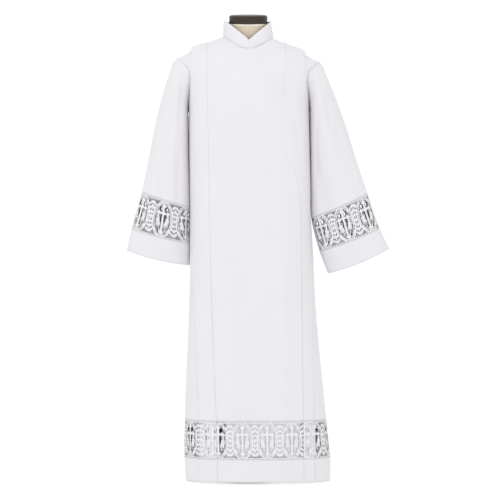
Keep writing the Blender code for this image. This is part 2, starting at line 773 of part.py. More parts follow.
def mean(points):
    return sum(points, Vector()) / len(points)


def armhole_clearance(ring, normals, hand):
    """Moves the first ring off the body's edge, further where the walls lie face to face."""
    angle = ANGLE_STEP if hand > 0 else pi - ANGLE_STEP
    moved = []
    for i, (point, normal, share) in enumerate(zip(ring, normals, armhole_loop())):
        level = UNDERARM + max(share, SHARE_STEP)
        facing = body_frame(angle, level, FRONT)[2].dot(normal)
        seam = (ring[(i + 1) % len(ring)] - ring[i - 1]).normalized()
        away = Vector((hand, 0, 0))
        away = (away - seam * away.dot(seam)).normalized()
        moved.append(point + away * (SEAM_GAP + CLOTH / 2 * (1 - facing)))
    return moved


def sleeve_lace(name, table, hand, side):
    """Half of a sleeve's lace tube, from its inner to its outer edge."""
    top, low = table[LACE_RING], table[CUFF_RING]
    first = 0 if side == FRONT else 2
    shares = [abs(first - i / SLEEVE_LACE_STEPS) for i in range(SLEEVE_LACE_STEPS + 1)]

    def middle_point(share, t):
        return sleeve_point(top, share) * (1 - t) + sleeve_point(low, share) * t

    lengths = [0.0]
    for a, b in zip(shares, shares[1:]):
        lengths.append(lengths[-1] + (middle_point(b, 0.5) - middle_point(a, 0.5)).length)
    height = (middle_point(1, 1) - middle_point(1, 0)).length

    def place(u, v):
        share = float(np.interp(u, lengths, shares))
        t = (height - v + SEAM_GAP) / (height + 2 * SEAM_GAP)
        before, after = share - SHARE_STEP, share + SHARE_STEP
        if side == FRONT:
            before, after = max(before, 0), min(after, 1)
        else:
            before, after = max(before, 1), min(after, 2)
        around = middle_point(after, t) - middle_point(before, t)
        along = middle_point(share, 1) - middle_point(share, 0)
        face = around.cross(along).normalized() * hand
        point = apart(middle_point(share, t), side)
        return point + face * (CLOTH / 2), point - face * (CLOTH / 2)

    last = lengths[-1]
    gaps = lace_gaps(last, height, last / 2, [])
    return cut_band(name, place, [], lengths[1:-1], last, height, gaps)


# ---------------------------------------------------------------- collar and under front
def neckline():
    """The body's neck edge as (angle from centre back towards +X, point), all the way round."""
    points = []
    for side in (BACK, FRONT):
        for column in panel_columns():
            if column.zone == "middle":
                level = UNDERARM + top_level(column, side)
                points.append(body_point(column_angle(column, level, side), level, side))
    edge = sorted({round(atan2(p.x, p.y), 4): p for p in points}.items())
    angles = [angle for angle, _ in edge]
    return (
        [angles[-1] - 2 * pi, *angles, angles[0] + 2 * pi],
        [edge[-1][1], *(p for _, p in edge), edge[0][1]],
    )


def neck_point(loop, angle):
    angles, points = loop
    return Vector([float(np.interp(angle, angles, [p[axis] for p in points])) for axis in range(3)])


def collar_top_z(x, lap):
    """The top edge: level round the back, then the mitred edge down to the notch and on to the neck seam."""
    if lap > 0:
        return COLLAR_NOTCH - (COLLAR_NOTCH - COLLAR_LAP_Z) * lap / COLLAR_LAP
    share = 1 - min(abs(x) / COLLAR_TOP_HALF, 1)
    return COLLAR_TOP - (COLLAR_TOP - COLLAR_NOTCH) * share


def collar_half(name, hand, layers):
    """From centre back round one side to centre front and past it. layers sinks its front under the other."""
    loop = neckline()
    last = pi + COLLAR_LAP / NECK_FRONT
    outer, inner = [[] for _ in range(COLLAR_ROWS + 1)], [[] for _ in range(COLLAR_ROWS + 1)]
    for step in range(COLLAR_STEPS + 1):
        angle = last * step / COLLAR_STEPS
        wrapped = hand * angle if angle <= pi else hand * (angle - 2 * pi)
        low = neck_point(loop, wrapped)
        low.z += COLLAR_RISE
        reach = COLLAR_TOP_BACK if angle < pi / 2 else COLLAR_TOP_FRONT
        high_x = COLLAR_TOP_SHIFT + hand * COLLAR_TOP_HALF * sin(angle)
        high = Vector((high_x, reach * cos(angle), COLLAR_TOP))
        lap = max(angle - pi, 0) * NECK_FRONT
        front_x = hand * high.x if angle > pi / 2 else COLLAR_TOP_HALF
        top = (collar_top_z(front_x, lap) - low.z) / (COLLAR_TOP - low.z)
        out = Vector((low.x, low.y, 0)).normalized()
        sink = layers * ease((angle - COLLAR_SINK_FROM) / COLLAR_SINK_OVER)
        out_gap = Vector((hand * SEAM_GAP / 2, 0, 0)) if step == 0 else Vector()
        for row in range(COLLAR_ROWS + 1):
            middle = low + (high - low) * (top * row / COLLAR_ROWS) - out * sink + out_gap
            outer[row].append(middle + out * (COLLAR_CLOTH / 2))
            inner[row].append(middle - out * (COLLAR_CLOTH / 2))
    return closed_wall(name, outer, inner, CLOTH_FINISH)


def front_under():
    """The other front's edge, wrapped under the over front as far as the lace shows it."""
    middle = [c for c in panel_columns() if c.zone == "middle"]
    tops = [top_level(c, FRONT) for c in middle]
    top_x = [column_x(c, RIDGE, FRONT) for c in middle]
    low_levels = (UNDER_HEM, LACE_TOP, *LOW_LEVELS)
    outer, inner = [], []
    for row in range(len(low_levels) + TOP_ROWS):
        face, back = [], []
        for i in range(UNDER_STEPS + 1):
            if row < len(low_levels):
                z = level = low_levels[row]
            else:
                z = UNDERARM + (FRONT_PLEATS[-1].z - UNDERARM) * (row - len(low_levels) + 1) / TOP_ROWS
            left_x = smooth(UNDER_EDGE, "x", z)
            right_x = smooth(FRONT_PLEATS, "right_in", z) - UNDER_SHORT
            x = left_x + (right_x - left_x) * i / UNDER_STEPS
            if row >= len(low_levels):
                top = float(np.interp(x, top_x, tops))
                level = UNDERARM + top * (row - len(low_levels) + 1) / TOP_ROWS
            point, _, out = body_frame(angle_at(x, level), level, FRONT)
            point -= out * UNDER_SUNK
            face.append(point + out * (CLOTH / 2))
            back.append(point - out * (CLOTH / 2))
        outer.append(face)
        inner.append(back)
    return closed_wall("front_under", outer, inner, CLOTH_FINISH)


# ---------------------------------------------------------------- dress form and stand
def torso_ring(turn):
    """A rounded-square ring, leaning forward with the neck."""
    points = []
    for i in range(TORSO_SIDES):
        angle = 2 * pi * i / TORSO_SIDES
        x = turn.half_width * power(cos(angle), TORSO_SQUARE)
        y = (turn.front if sin(angle) < 0 else turn.back) * power(sin(angle), TORSO_SQUARE)
        points.append(Vector((x, y, turn.z + y * NECK_LEAN * ease((turn.z - NECK_BASE) / NECK_EASE))))
    return points


def stacked_rings(name, rings, finish):
    """A solid with flat ends from rings of equal counts."""
    count = len(rings[0])
    points = [p for ring in rings for p in ring]
    faces = [tuple(reversed(range(count))), tuple(range(len(points) - count, len(points)))]
    for r in range(len(rings) - 1):
        for c in range(count):
            a, b = r * count + c, r * count + (c + 1) % count
            faces.append((a, b, b + count, a + count))
    return add_object(name, points, faces, finish)


def turned(name, profile, sides, lean, finish):
    """A turned solid from (z, radius) rows."""
    rings = []
    for z, radius in profile:
        turn = [(radius * cos(2 * pi * i / sides), radius * sin(2 * pi * i / sides)) for i in range(sides)]
        rings.append([Vector((x, y, z + y * lean)) for x, y in turn])
    return stacked_rings(name, rings, finish)


def dress_form():
    stacked_rings("form_torso", [torso_ring(turn) for turn in TORSO], LINEN_FINISH)
    bottom = CAP_BOTTOM + SEAM_GAP
    profile = [(bottom, CAP_RADIUS - CHAMFER), (bottom + CHAMFER, CAP_RADIUS)]
    for step in range(CAP_ROUND_STEPS + 1):
        angle = pi / 2 * step / CAP_ROUND_STEPS
        edge = CAP_RADIUS - CAP_ROUND * (1 - cos(angle))
        profile.append((CAP_TOP - CAP_ROUND * (1 - sin(angle)), edge))
    turned("form_cap", profile, CAP_SIDES, NECK_LEAN, CAP_FINISH)
    profile = [(BASE_THICK + SEAM_GAP, POLE_RADIUS), (TORSO[0].z - SEAM_GAP, POLE_RADIUS)]
    turned("stand_pole", profile, POLE_SIDES, 0, STEEL_FINISH)
    profile = [(0, BASE_RADIUS), (BASE_THICK - CHAMFER, BASE_RADIUS), (BASE_THICK, BASE_RADIUS - CHAMFER)]
    turned("stand_base", profile, BASE_SIDES, 0, STEEL_FINISH)


def build():
    for obj in list(bpy.data.objects):
        bpy.data.objects.remove(obj)
    body_panel("front", FRONT)
    body_panel("back", BACK)
    front_under()
    hem_band("hem_front", FRONT)
    hem_band("hem_back", BACK)
    hem_lace("lace_hem_front", FRONT, LACE_CENTRE_FRONT)
    hem_lace("lace_hem_back", BACK, LACE_CENTRE_BACK)
    for name, table, hand in (("left", LEFT_SLEEVE, -1), ("right", RIGHT_SLEEVE, 1)):
        sleeve_tube("sleeve_" + name, table, hand, 0, SEAM_RINGS + LACE_RING)
        sleeve_tube("cuff_" + name, table, hand, SEAM_RINGS + CUFF_RING, SEAM_RINGS + len(table) - 1)
        sleeve_lace(f"lace_sleeve_{name}_front", table, hand, FRONT)
        sleeve_lace(f"lace_sleeve_{name}_back", table, hand, BACK)
    collar_half("collar_over", -1, 0.0)
    collar_half("collar_under", 1, COLLAR_LAYERS)
    dress_form()


build()
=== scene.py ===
"""Looks of the alb robe on its dress form: the cloth, lace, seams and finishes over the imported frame.

Sizes are in millimetres until a mesh is made, which is in metres.  "Left" is -X, as seen from the front.
The cloth's surface comes from tables like those of the part's solids, with finer columns, rows and folds.
"""
import json
from collections import namedtuple
from functools import cache
from math import cos, pi, radians, sin, tan

import bpy
import numpy as np
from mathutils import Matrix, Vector

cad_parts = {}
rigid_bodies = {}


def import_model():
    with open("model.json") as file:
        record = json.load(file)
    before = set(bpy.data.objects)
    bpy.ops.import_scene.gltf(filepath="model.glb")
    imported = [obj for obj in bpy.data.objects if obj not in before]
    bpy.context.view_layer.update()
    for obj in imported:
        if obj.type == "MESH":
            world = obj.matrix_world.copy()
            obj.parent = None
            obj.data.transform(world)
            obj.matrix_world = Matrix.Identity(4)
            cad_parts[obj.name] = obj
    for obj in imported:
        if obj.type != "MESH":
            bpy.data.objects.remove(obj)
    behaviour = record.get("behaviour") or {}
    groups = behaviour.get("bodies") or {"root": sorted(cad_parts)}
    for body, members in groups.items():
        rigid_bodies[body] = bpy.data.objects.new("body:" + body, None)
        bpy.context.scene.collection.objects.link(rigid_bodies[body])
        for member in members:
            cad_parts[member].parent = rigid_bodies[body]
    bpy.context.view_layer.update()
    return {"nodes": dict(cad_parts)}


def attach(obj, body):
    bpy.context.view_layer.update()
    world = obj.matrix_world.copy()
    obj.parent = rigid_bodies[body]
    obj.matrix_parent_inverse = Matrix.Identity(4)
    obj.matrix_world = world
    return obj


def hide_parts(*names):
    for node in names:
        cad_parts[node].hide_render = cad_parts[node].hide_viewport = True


for obj in list(bpy.data.objects):
    bpy.data.objects.remove(obj)
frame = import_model()
nodes = frame["nodes"]
MM = 0.001

# ---- sizes (mm)
# They are the part's own, but for the pitch of the pleats, the collar's rise, the crown of the sleeves, the
# sleeves' inner edges, which lie nearer the body here, and the finer folds.
COLLAR_CLOTH = 1.6
SEAM_GAP = 0.3
PLEAT_PITCH = 0.65           # the pressed pleats lie closer here than the walls that stand for them
UNDERARM = 1223.0
HEM_TOP = 82.0
LACE_TOP = 205.0
HEM_SIDE, HEM_FRONT = 4.0, 8.0
SEAM_FORWARD = 22.0
NECK_HALF, NECK_FRONT, NECK_BACK = 82.0, 84.0, 72.0
ARMHOLE_FRONT, ARMHOLE_BACK = 70.0, 70.0
LACE_PITCH = 81.0
LACE_CENTRE_FRONT, LACE_CENTRE_BACK = -19.0, 30.0
FRONT, BACK = -1, 1

Section = namedtuple("Section", "z left right front back power")
BODY = [
    Section(0, -206, 270, 160, 166, 2.3),
    Section(60, -210, 271, 160, 165, 2.3),
    Section(120, -211, 266, 159, 163, 2.3),
    Section(205, -209, 257, 157, 160, 2.35),
    Section(310, -206, 246, 153, 156, 2.4),
    Section(440, -200, 233, 148, 150, 2.5),
    Section(600, -194, 220, 142, 142, 2.6),
    Section(750, -190, 213, 138, 134, 2.7),
    Section(900, -190, 205, 134, 128, 2.8),
    Section(1060, -194, 203, 131, 126, 2.9),
    Section(UNDERARM, -196, 201, 129, 126, 3.0),
]

Armhole = namedtuple("Armhole", "share half_width")
ARMHOLE = [
    Armhole(0.0, 198.5),
    Armhole(0.2, 194.5),
    Armhole(0.38, 191),
    Armhole(0.53, 196),
    Armhole(0.62, 208),
    Armhole(0.76, 223),
    Armhole(1.0, 237),
]

Ridge = namedtuple("Ridge", "x z")
SHOULDER = [
    Ridge(0, 1462),
    Ridge(82, 1462),
    Ridge(110, 1451),
    Ridge(135, 1444),
    Ridge(170, 1434),
    Ridge(183, 1426),
    Ridge(192, 1415),
    Ridge(237, 1386),
]
SHOULDER_TILT = 0.028
EDGE_RISE, CHEST_ROUND = 0.7, 0.85

Pleats = namedtuple("Pleats", "z left_out left_in right_in right_out")
FRONT_PLEATS = [
    Pleats(0, -157, -98, 180, 213),
    Pleats(205, -158, -103, 178, 211),
    Pleats(440, -166, -113, 175, 207),
    Pleats(600, -173, -118, 173, 204),
    Pleats(760, -183, -123, 171, 200),
    Pleats(930, -187, -126, 168, 190),
    Pleats(1010, -187, -128, 152, 186),
    Pleats(1080, -187, -129, 120, 186),
    Pleats(1300, -187, -134, 119, 186),
    Pleats(1425, -182, -135, 120, 184),
]
BACK_PLEATS = [
    Pleats(0, -172, -115, 165, 222),
    Pleats(205, -170, -116, 158, 214),
    Pleats(600, -172, -118, 138, 196),
    Pleats(930, -180, -124, 128, 186),
    Pleats(1223, -186, -132, 124, 184),
    Pleats(1425, -182, -135, 120, 184),
]

# Soft folds of the front and the back view: ridges (depth > 0) and troughs from one point to another.
# The broad ones at the top of each list are the solids' own; the rest are finer creases of the cloth.
Fold = namedtuple("Fold", "x_top z_top x_low z_low half_width depth")
FOLD_BEFORE, FOLD_AFTER, FOLD_FADE = 0.25, 0.35, 0.4
FRONT_FOLDS = [
    Fold(-16, 850, 30, 250, 62, -9),
    Fold(-70, 700, -55, 190, 40, 5),
    Fold(110, 760, 118, 200, 45, 6),
    Fold(128, 1270, 160, 1130, 24, -4),
    Fold(60, 1330, 90, 1000, 60, -3),
    Fold(250, 560, 246, 150, 26, 8),
    Fold(-206, 700, -196, 240, 26, 6),
    Fold(108, 1320, 117, 1090, 20, -7.0),
    Fold(137, 1290, 161, 1140, 8, -3.0),
    Fold(146, 1270, 172, 1120, 8, 2.6),
    Fold(-60, 1250, -74, 900, 26, -1.8),
    Fold(-92, 1180, -96, 760, 14, 1.4),
    Fold(30, 1120, 22, 620, 24, 2.0),
    Fold(70, 980, 84, 430, 22, -2.4),
    Fold(-30, 640, -14, 160, 20, -2.4),
    Fold(55, 600, 66, 150, 18, -2.6),
    Fold(143, 640, 146, 160, 16, -2.4),
    Fold(-84, 520, -80, 130, 12, -1.8),
    Fold(-184, 1000, -180, 520, 9, -1.6),
    Fold(193, 860, 205, 420, 9, -2.0),
    Fold(228, 640, 243, 240, 10, -3.0),
]
BACK_FOLDS = [
    Fold(-60, 1120, -75, 220, 48, -8),
    Fold(0, 900, 12, 180, 46, 7),
    Fold(66, 1060, 92, 200, 48, -7),
    Fold(-190, 640, -196, 160, 30, 7),
    Fold(232, 600, 250, 160, 30, 7),
    Fold(-98, 1290, -90, 900, 20, -2.2),
    Fold(30, 1260, 24, 860, 26, -2.0),
    Fold(98, 1200, 92, 720, 18, 1.8),
    Fold(-24, 720, -30, 170, 18, -2.4),
    Fold(48, 640, 50, 150, 18, -2.2),
    Fold(-120, 520, -128, 150, 14, 1.8),
    Fold(128, 560, 136, 150, 14, 2.0),
    Fold(-190, 1040, -186, 560, 10, -1.8),
    Fold(194, 980, 204, 480, 10, -1.8),
]

Ring = namedtuple("Ring", "out_x out_z in_x in_z front back droop")
LEFT_SLEEVE = [
    Ring(-260, 1342, -197.4, 1196, 78, 79, 0),
    Ring(-283, 1268, -196.2, 1136, 74, 75, 0),
    Ring(-304, 1183, -195.2, 1065, 68, 69, 0),
    Ring(-327, 1069, -193.4, 985, 61, 62, 2),
    Ring(-351, 952, -191.6, 903, 54, 55, 4),
    Ring(-384.5, 830, -192, 782, 48, 49, 6),
    Ring(-401, 760, -193.5, 711, 45, 46, 8),
]
RIGHT_SLEEVE = [
    Ring(256, 1338, 202.4, 1192, 78, 79, 0),
    Ring(286, 1266, 203.2, 1128, 74, 75, 0),
    Ring(317, 1181, 204.2, 1052, 68, 69, 0),
    Ring(353, 1066, 205.6, 960, 61, 62, 2),
    Ring(393, 947, 208, 868, 54, 55, 4),
    Ring(433, 832, 236, 756, 48, 49, 6),
    Ring(464.5, 766, 263, 684, 45, 46, 8),
]
LACE_RING, CUFF_RING, SEAM_RINGS = 4, 5, 2
CROWN_OUT, CROWN_CLOSE, CROWN_DROP = 4.0, 1.2, 5.0   # the seam's swell, at the top and the underarm
SLEEVE_SWELL = 0.65

# Creases of the sleeves, front and back, in the same terms as the body's folds.
SLEEVE_FRONT_FOLDS = [
    Fold(213, 1372, 262, 1110, 13, 4.5),
    Fold(296, 1167, 340, 1010, 14, -5.5),
    Fold(340, 1010, 388, 830, 16, -4.0),
    Fold(222, 1160, 222, 1000, 9, -4.5),
    Fold(236, 1010, 262, 820, 12, -4.5),
    Fold(262, 1060, 300, 850, 14, 4.0),
    Fold(318, 1120, 352, 930, 12, 3.0),
    Fold(242, 1290, 270, 1180, 10, -2.5),
    Fold(-214, 1330, -226, 1180, 8, -3.0),
    Fold(-232, 1290, -252, 1060, 13, 3.5),
    Fold(-256, 1180, -282, 940, 14, -3.5),
    Fold(-298, 1080, -330, 860, 14, 3.0),
    Fold(-226, 1080, -232, 840, 12, -3.5),
    Fold(-318, 1060, -352, 860, 10, -2.5),
]
SLEEVE_BACK_FOLDS = [
    Fold(224, 1340, 260, 1090, 14, 4.0),
    Fold(262, 1190, 300, 940, 15, -5.0),
    Fold(320, 1110, 366, 860, 15, 3.5),
    Fold(226, 1080, 246, 850, 12, -3.5),
    Fold(-224, 1330, -248, 1080, 14, 3.5),
    Fold(-262, 1170, -292, 920, 15, -4.5),
    Fold(-312, 1080, -346, 850, 13, 3.0),
    Fold(-224, 1060, -236, 840, 12, -3.0),
]

COLLAR_TOP = 1516.0
COLLAR_TOP_HALF, COLLAR_TOP_FRONT, COLLAR_TOP_BACK, COLLAR_TOP_SHIFT = 76.0, 70.0, 68.0, -3.5
COLLAR_NOTCH = 1449.0
COLLAR_LAP, COLLAR_LAP_Z = 18.0, 1428.0
COLLAR_LAYERS, COLLAR_RISE = 2.4, 0.3
COLLAR_SINK_FROM, COLLAR_SINK_OVER = radians(120), radians(40)

Edge = namedtuple("Edge", "z x")
UNDER_EDGE = [Edge(90, -78), Edge(600, -62), Edge(1100, -38), Edge(1423, -18)]
UNDER_HEM, UNDER_SUNK, UNDER_SHORT = 92.0, 6.0, 6.0

Turn = namedtuple("Turn", "z half_width front back")
TORSO = [
    Turn(733, 128, 78, 84),
    Turn(738, 146, 94, 100),
    Turn(752, 153, 100, 106),
    Turn(840, 160, 106, 110),
    Turn(960, 150, 98, 98),
    Turn(1090, 164, 110, 106),
    Turn(1210, 177, 118, 114),
    Turn(1290, 184, 112, 112),
    Turn(1345, 184, 92, 98),
    Turn(1380, 172, 72, 82),
    Turn(1402, 150, 60, 70),
    Turn(1420, 118, 55, 62),
    Turn(1434, 88, 54, 58),
    Turn(1446, 68, 55, 56),
    Turn(1462, 61, 58, 56),
    Turn(1508.6, 60, 59, 59),
]
TORSO_SQUARE = 0.87
NECK_BASE, NECK_LEAN, NECK_EASE = 1440.0, tan(radians(8)), 50.0
CAP_RADIUS, CAP_BOTTOM, CAP_TOP, CAP_ROUND = 63.0, 1508.6, 1535.5, 6.0

# ---- how finely the cloth is made
CLOTH = 0.6                  # the cloth's own thickness, inside its solid's
SIDE_FINE = 14               # columns from a side seam to its pleat
NECK_FINE = 52               # spaces along the neckline and below it
PLEAT_FINE = 5               # columns across half a pleat's top layer
ROW_STEP = 9.0               # height of a row below the underarm
TOP_FINE = 40                # rows above it
AROUND_FINE = 84             # points round a sleeve
ALONG_STEP = 6.0             # length of a sleeve's rows
HEM_ROWS, LACE_ROWS = 13, 19
UNDER_ROWS, UNDER_TOP_ROWS, UNDER_COLUMNS = 90, 25, 31
COLLAR_STEPS, COLLAR_ROWS = 96, 14
EVEN_BELOW = 700.0           # the middle columns are spaced evenly below this height
HALVINGS = 24


# ---- curves through the tables
curves = {}


def curve_through(table, column):
    """Knots, values and slopes of a smooth curve that never overshoots its rows (monotone cubic)."""
    x = np.array([float(row[0]) for row in table])
    y = np.array([float(getattr(row, column)) for row in table])
    slopes = np.diff(y) / np.diff(x)
    tangents = np.empty(len(x))
    tangents[0], tangents[-1] = slopes[0], slopes[-1]
    for i, (before, after) in enumerate(zip(slopes, slopes[1:]), 1):
        tangents[i] = 2 * before * after / (before + after) if before * after > 0 else 0.0
    return x, y, tangents


def on_cubic(values, slopes, i, step, t):
    """Between knots i and i + 1, step apart, at a share t of the way."""
    return (
        values[i] * (1 + 2 * t) * (1 - t) ** 2
        + slopes[i] * step * t * (1 - t) ** 2
        + values[i + 1] * t * t * (3 - 2 * t)
        - slopes[i + 1] * step * t * t * (1 - t)
    )


def smooth(table, column, at):
    """A table's column as a smooth function of its first column."""
    key = (id(table), column)
    if key not in curves:
        curves[key] = curve_through(table, column)
    x, y, tangent = curves[key]
    at = np.clip(at, x[0], x[-1])
    i = np.clip(np.searchsorted(x, at, side="right") - 1, 0, len(x) - 2)
    step = x[i + 1] - x[i]
    t = (at - x[i]) / step
    return on_cubic(y, tangent, i, step, t)


def ease(t):
    t = np.clip(t, 0.0, 1.0)
    return t * t * (3 - 2 * t)


def power(value, exponent):
    return np.abs(value) ** exponent * np.where(value >= 0, 1, -1)


def ridge_z(x):
    return smooth(SHOULDER, "z", np.abs(x)) - SHOULDER_TILT * x


def unit(v):
    return v / np.maximum(np.linalg.norm(v, axis=-1, keepdims=True), 1e-12)


# ---- the cloth's unevenness
RUMPLE_WAVES = 14
RUMPLE_DEPTH = 0.5           # mm, of each wave
rumple_random = np.random.default_rng(11)
RUMPLE = [
    (
        2 * pi / rumple_random.uniform(38, 120),     # across, per mm
        2 * pi / rumple_random.uniform(260, 900),    # along, per mm
        rumple_random.uniform(0, 2 * pi),
    )
    for _ in range(RUMPLE_WAVES)
]


def rumple(x, z):
    """Slight hanging waves, no two alike, that keep the cloth from looking pressed."""
    total = 0.0
    for across, along, phase in RUMPLE:
        total = total + np.sin(x * across + np.sin(z * along + phase) * 1.3 + phase)
    return total * RUMPLE_DEPTH / RUMPLE_WAVES ** 0.5


def fold_depth(folds, x, z):
    """How far the soft folds move the point of the front or back view out."""
    moved = np.zeros(np.broadcast(x, z).shape)
    for fold in folds:
        along = (fold.z_top - z) / (fold.z_top - fold.z_low)
        middle = fold.x_top + (fold.x_low - fold.x_top) * along
        ends = ease((along + FOLD_BEFORE) / FOLD_FADE) * ease((1 + FOLD_AFTER - along) / FOLD_FADE)
        moved += fold.depth * ends * np.exp(-(((x - middle) / fold.half_width) ** 2))
    return moved


# ---- the body's surface
# A level is a height up to the underarm, and above it the underarm's height plus a share: 0 at the
# underarm, 1 at the shoulder ridge, and on to 2 at the underarm on the other side.
def row_span(height, share):
    """The x of the middle of a row of the cloth, and half its width."""
    left, right = smooth(BODY, "left", height), smooth(BODY, "right", height)
    half = np.where(share > 0, smooth(ARMHOLE, "half_width", share), (right - left) / 2)
    return (left + right) / 2 * (1 - share), half


def body_point(angle, level, side):
    """Points of the cloth's middle surface. angle is 0 at the right side seam and pi at the left one."""
    angle, level = np.broadcast_arrays(np.asarray(angle, float), np.asarray(level, float))
    across, depth = np.cos(angle), np.maximum(np.sin(angle), 0)
    height = np.minimum(level, UNDERARM)
    share = np.maximum(level - UNDERARM, 0)
    over = share > 1
    share = np.where(over, 2 - share, share)
    facing = np.where(over, -side, side)
    middle, half = row_span(height, share)
    exponent = 2 / smooth(BODY, "power", height)
    reach = np.where(facing == FRONT, smooth(BODY, "front", height), smooth(BODY, "back", height))
    inward = power(depth, exponent)
    x = middle + half * power(across, exponent)
    loop = np.where(facing == FRONT, ARMHOLE_FRONT, ARMHOLE_BACK)
    edge_y = loop * np.sin(pi * share)
    edge_rise = ((1 - np.cos(pi * share)) / 2) ** EDGE_RISE
    edge_z = (ridge_z(half * np.where(across > 0, 1, -1)) - UNDERARM) * edge_rise
    middle_y = reach * np.maximum(np.cos(pi / 2 * share), 0) ** CHEST_ROUND
    middle_z = (ridge_z(x) - UNDERARM) * np.sin(pi / 2 * share) ** CHEST_ROUND
    place_z = height + middle_z
    folds = np.where(facing == FRONT, fold_depth(FRONT_FOLDS, x, place_z), fold_depth(BACK_FOLDS, x, place_z))
    folds = folds + rumple(x + 400 * facing, place_z)
    fold = folds * ease((1 - share) * 3) * ease(depth * 2)
    y = edge_y + (middle_y - edge_y) * inward + fold
    z = height + edge_z + (middle_z - edge_z) * inward
    return np.stack([x, y * facing, z], -1)


ANGLE_STEP, SHARE_STEP, HEIGHT_STEP, EDGE_MARGIN = 0.002, 0.001, 1.0, 0.05
WIDEST_RATIO = 0.9995        # short of the side seams, where the angle turns too fast


def body_frame(angle, level, side):
    """Points with their unit vectors out of the body, and with the hem's lift."""
    angle, level = np.broadcast_arrays(np.asarray(angle, float), np.asarray(level, float))
    point = body_point(angle, level, side)
    near = np.clip(angle, EDGE_MARGIN, pi - EDGE_MARGIN)
    across = body_point(near - ANGLE_STEP, level, side) - body_point(near + ANGLE_STEP, level, side)
    above = np.where(level > UNDERARM - 1e-9, level + SHARE_STEP, level)
    lower = np.minimum(level, UNDERARM) - HEIGHT_STEP
    below = np.where(level > UNDERARM + SHARE_STEP, level - SHARE_STEP, lower)
    at_underarm = (level > UNDERARM - 1e-9) & (level <= UNDERARM + SHARE_STEP)
    below = np.where(at_underarm, level, below)
    above = np.where(at_underarm | (level > UNDERARM), above, level)
    up = body_point(near, above, side) - body_point(near, below, side)
    out = unit(np.cross(across, up) * -side)
    lift = HEM_SIDE + (HEM_FRONT - HEM_SIDE) * np.minimum(np.abs(point[..., 1]) / BODY[0].front, 1.0) ** 2
    point[..., 2] += lift * (1 - ease(point[..., 2] / HEM_TOP))
    return point, out


def angle_at(x, level):
    """The angle at which a row has this x."""
    height = np.minimum(level, UNDERARM)
    share = np.maximum(level - UNDERARM, 0)
    share = np.minimum(share, 2 - share)
    middle, half = row_span(height, share)
    ratio = np.clip((x - middle) / half, -WIDEST_RATIO, WIDEST_RATIO)
    return np.arccos(power(ratio, smooth(BODY, "power", height) / 2))


# ---- columns of a body panel
# place is "side", "out", "mid", "in" or "middle"; share is how far between places; nudge is in mm; layer
# counts the cloth's layers of a pleat, with halves at its rolled edges.
Column = namedtuple("Column", "zone place share nudge layer")
ROLL = PLEAT_PITCH / 2
# The panel beside a pleat comes down to its own level in steps: mm away and layers up.
PRESSED_EDGE = [(-0.55, 1.75), (-3, 1.2), (-6, 0.5), (-8.5, 0.12)]
ROLL_TURNS = [pi * i / 6 - pi / 2 for i in range(7)]
MID_GAP = CLOTH / 2 + SEAM_GAP


def rolled(bottom):
    """Nudges and layers of a pleat's rolled edge, from one layer to the next."""
    return [(ROLL * (1 - cos(turn)), bottom + 0.5 + sin(turn) / 2) for turn in ROLL_TURNS]


def pleat_columns(zone):
    """Across a box pleat from its outer side to its inner one. Under the top layer two folds nearly meet."""
    steps = []
    shares = [share / (2 * PLEAT_FINE) for share in range(1, 2 * PLEAT_FINE)]
    outer, inner = shares[:PLEAT_FINE - 1], shares[PLEAT_FINE:]
    steps.append(("out", 0.0, 0))
    steps += [("top", share, 0) for share in outer]
    steps += [("mid", -MID_GAP - nudge, layer) for nudge, layer in rolled(0)]
    steps += [("top", share, 1) for share in reversed(outer)]
    steps += [("out", nudge, layer) for nudge, layer in rolled(1)]
    steps += [("top", share, 2) for share in shares]
    steps += [("in", -nudge, 3 - layer) for nudge, layer in rolled(0)]
    steps += [("top", share, 1) for share in reversed(inner)]
    steps += [("mid", MID_GAP + nudge, 1 - layer) for nudge, layer in rolled(0)]
    steps += [("top", share, 0) for share in inner]
    steps.append(("in", 0.0, 0))
    steps += [("in", -away, layer) for away, layer in PRESSED_EDGE]
    made = []
    for place, value, layer in steps:
        if place == "top":
            made.append(Column(zone, "top", value, 0.0, layer))
        else:
            made.append(Column(zone, place, 0.0, value if zone == "left" else -value, layer))
    return made if zone == "left" else made[::-1]


def neck_shares():
    top = FRONT_PLEATS[-1]
    places = [-NECK_HALF * cos(pi * i / NECK_FINE) for i in range(NECK_FINE + 1)]
    return [(x - top.left_in) / (top.right_in - top.left_in) for x in places]


def panel_columns():
    columns = [Column("left", "side", i / SIDE_FINE, 0, 0) for i in range(SIDE_FINE)]
    columns += pleat_columns("left")
    columns += [Column("", "middle", share, 0, 0) for share in neck_shares()]
    columns += pleat_columns("right")
    columns += [Column("right", "side", i / SIDE_FINE, 0, 0) for i in reversed(range(SIDE_FINE))]
    return columns


def column_x(column, index, level, side):
    """x of a column at a level; index is its number among the middle columns."""
    pleats = FRONT_PLEATS if side == FRONT else BACK_PLEATS
    share = np.clip(level - UNDERARM, 0, 1)
    z = np.where(level > UNDERARM, UNDERARM + (pleats[-1].z - UNDERARM) * share, level)
    if column.place == "middle":
        low, high = smooth(pleats, "left_in", z), smooth(pleats, "right_in", z)
        even = (index + 2) / (NECK_FINE + 4)
        upper = ease((z - EVEN_BELOW) / (UNDERARM - EVEN_BELOW))
        return low + (high - low) * (even + (column.share - even) * upper)
    out, inn = smooth(pleats, column.zone + "_out", z), smooth(pleats, column.zone + "_in", z)
    if column.place == "top":
        return out + (inn - out) * column.share
    if column.place == "mid":
        return (out + inn) / 2 + column.nudge
    return (out if column.place == "out" else inn) + column.nudge


def column_angle(column, index, level, side):
    if column.place != "side":
        return angle_at(column_x(column, index, level, side), level)
    reach = angle_at(column_x(Column(column.zone, "out", 0, 0, 0), 0, level, side), level)
    seam = pi if column.zone == "left" else 0.0
    return seam + (reach - seam) * column.share


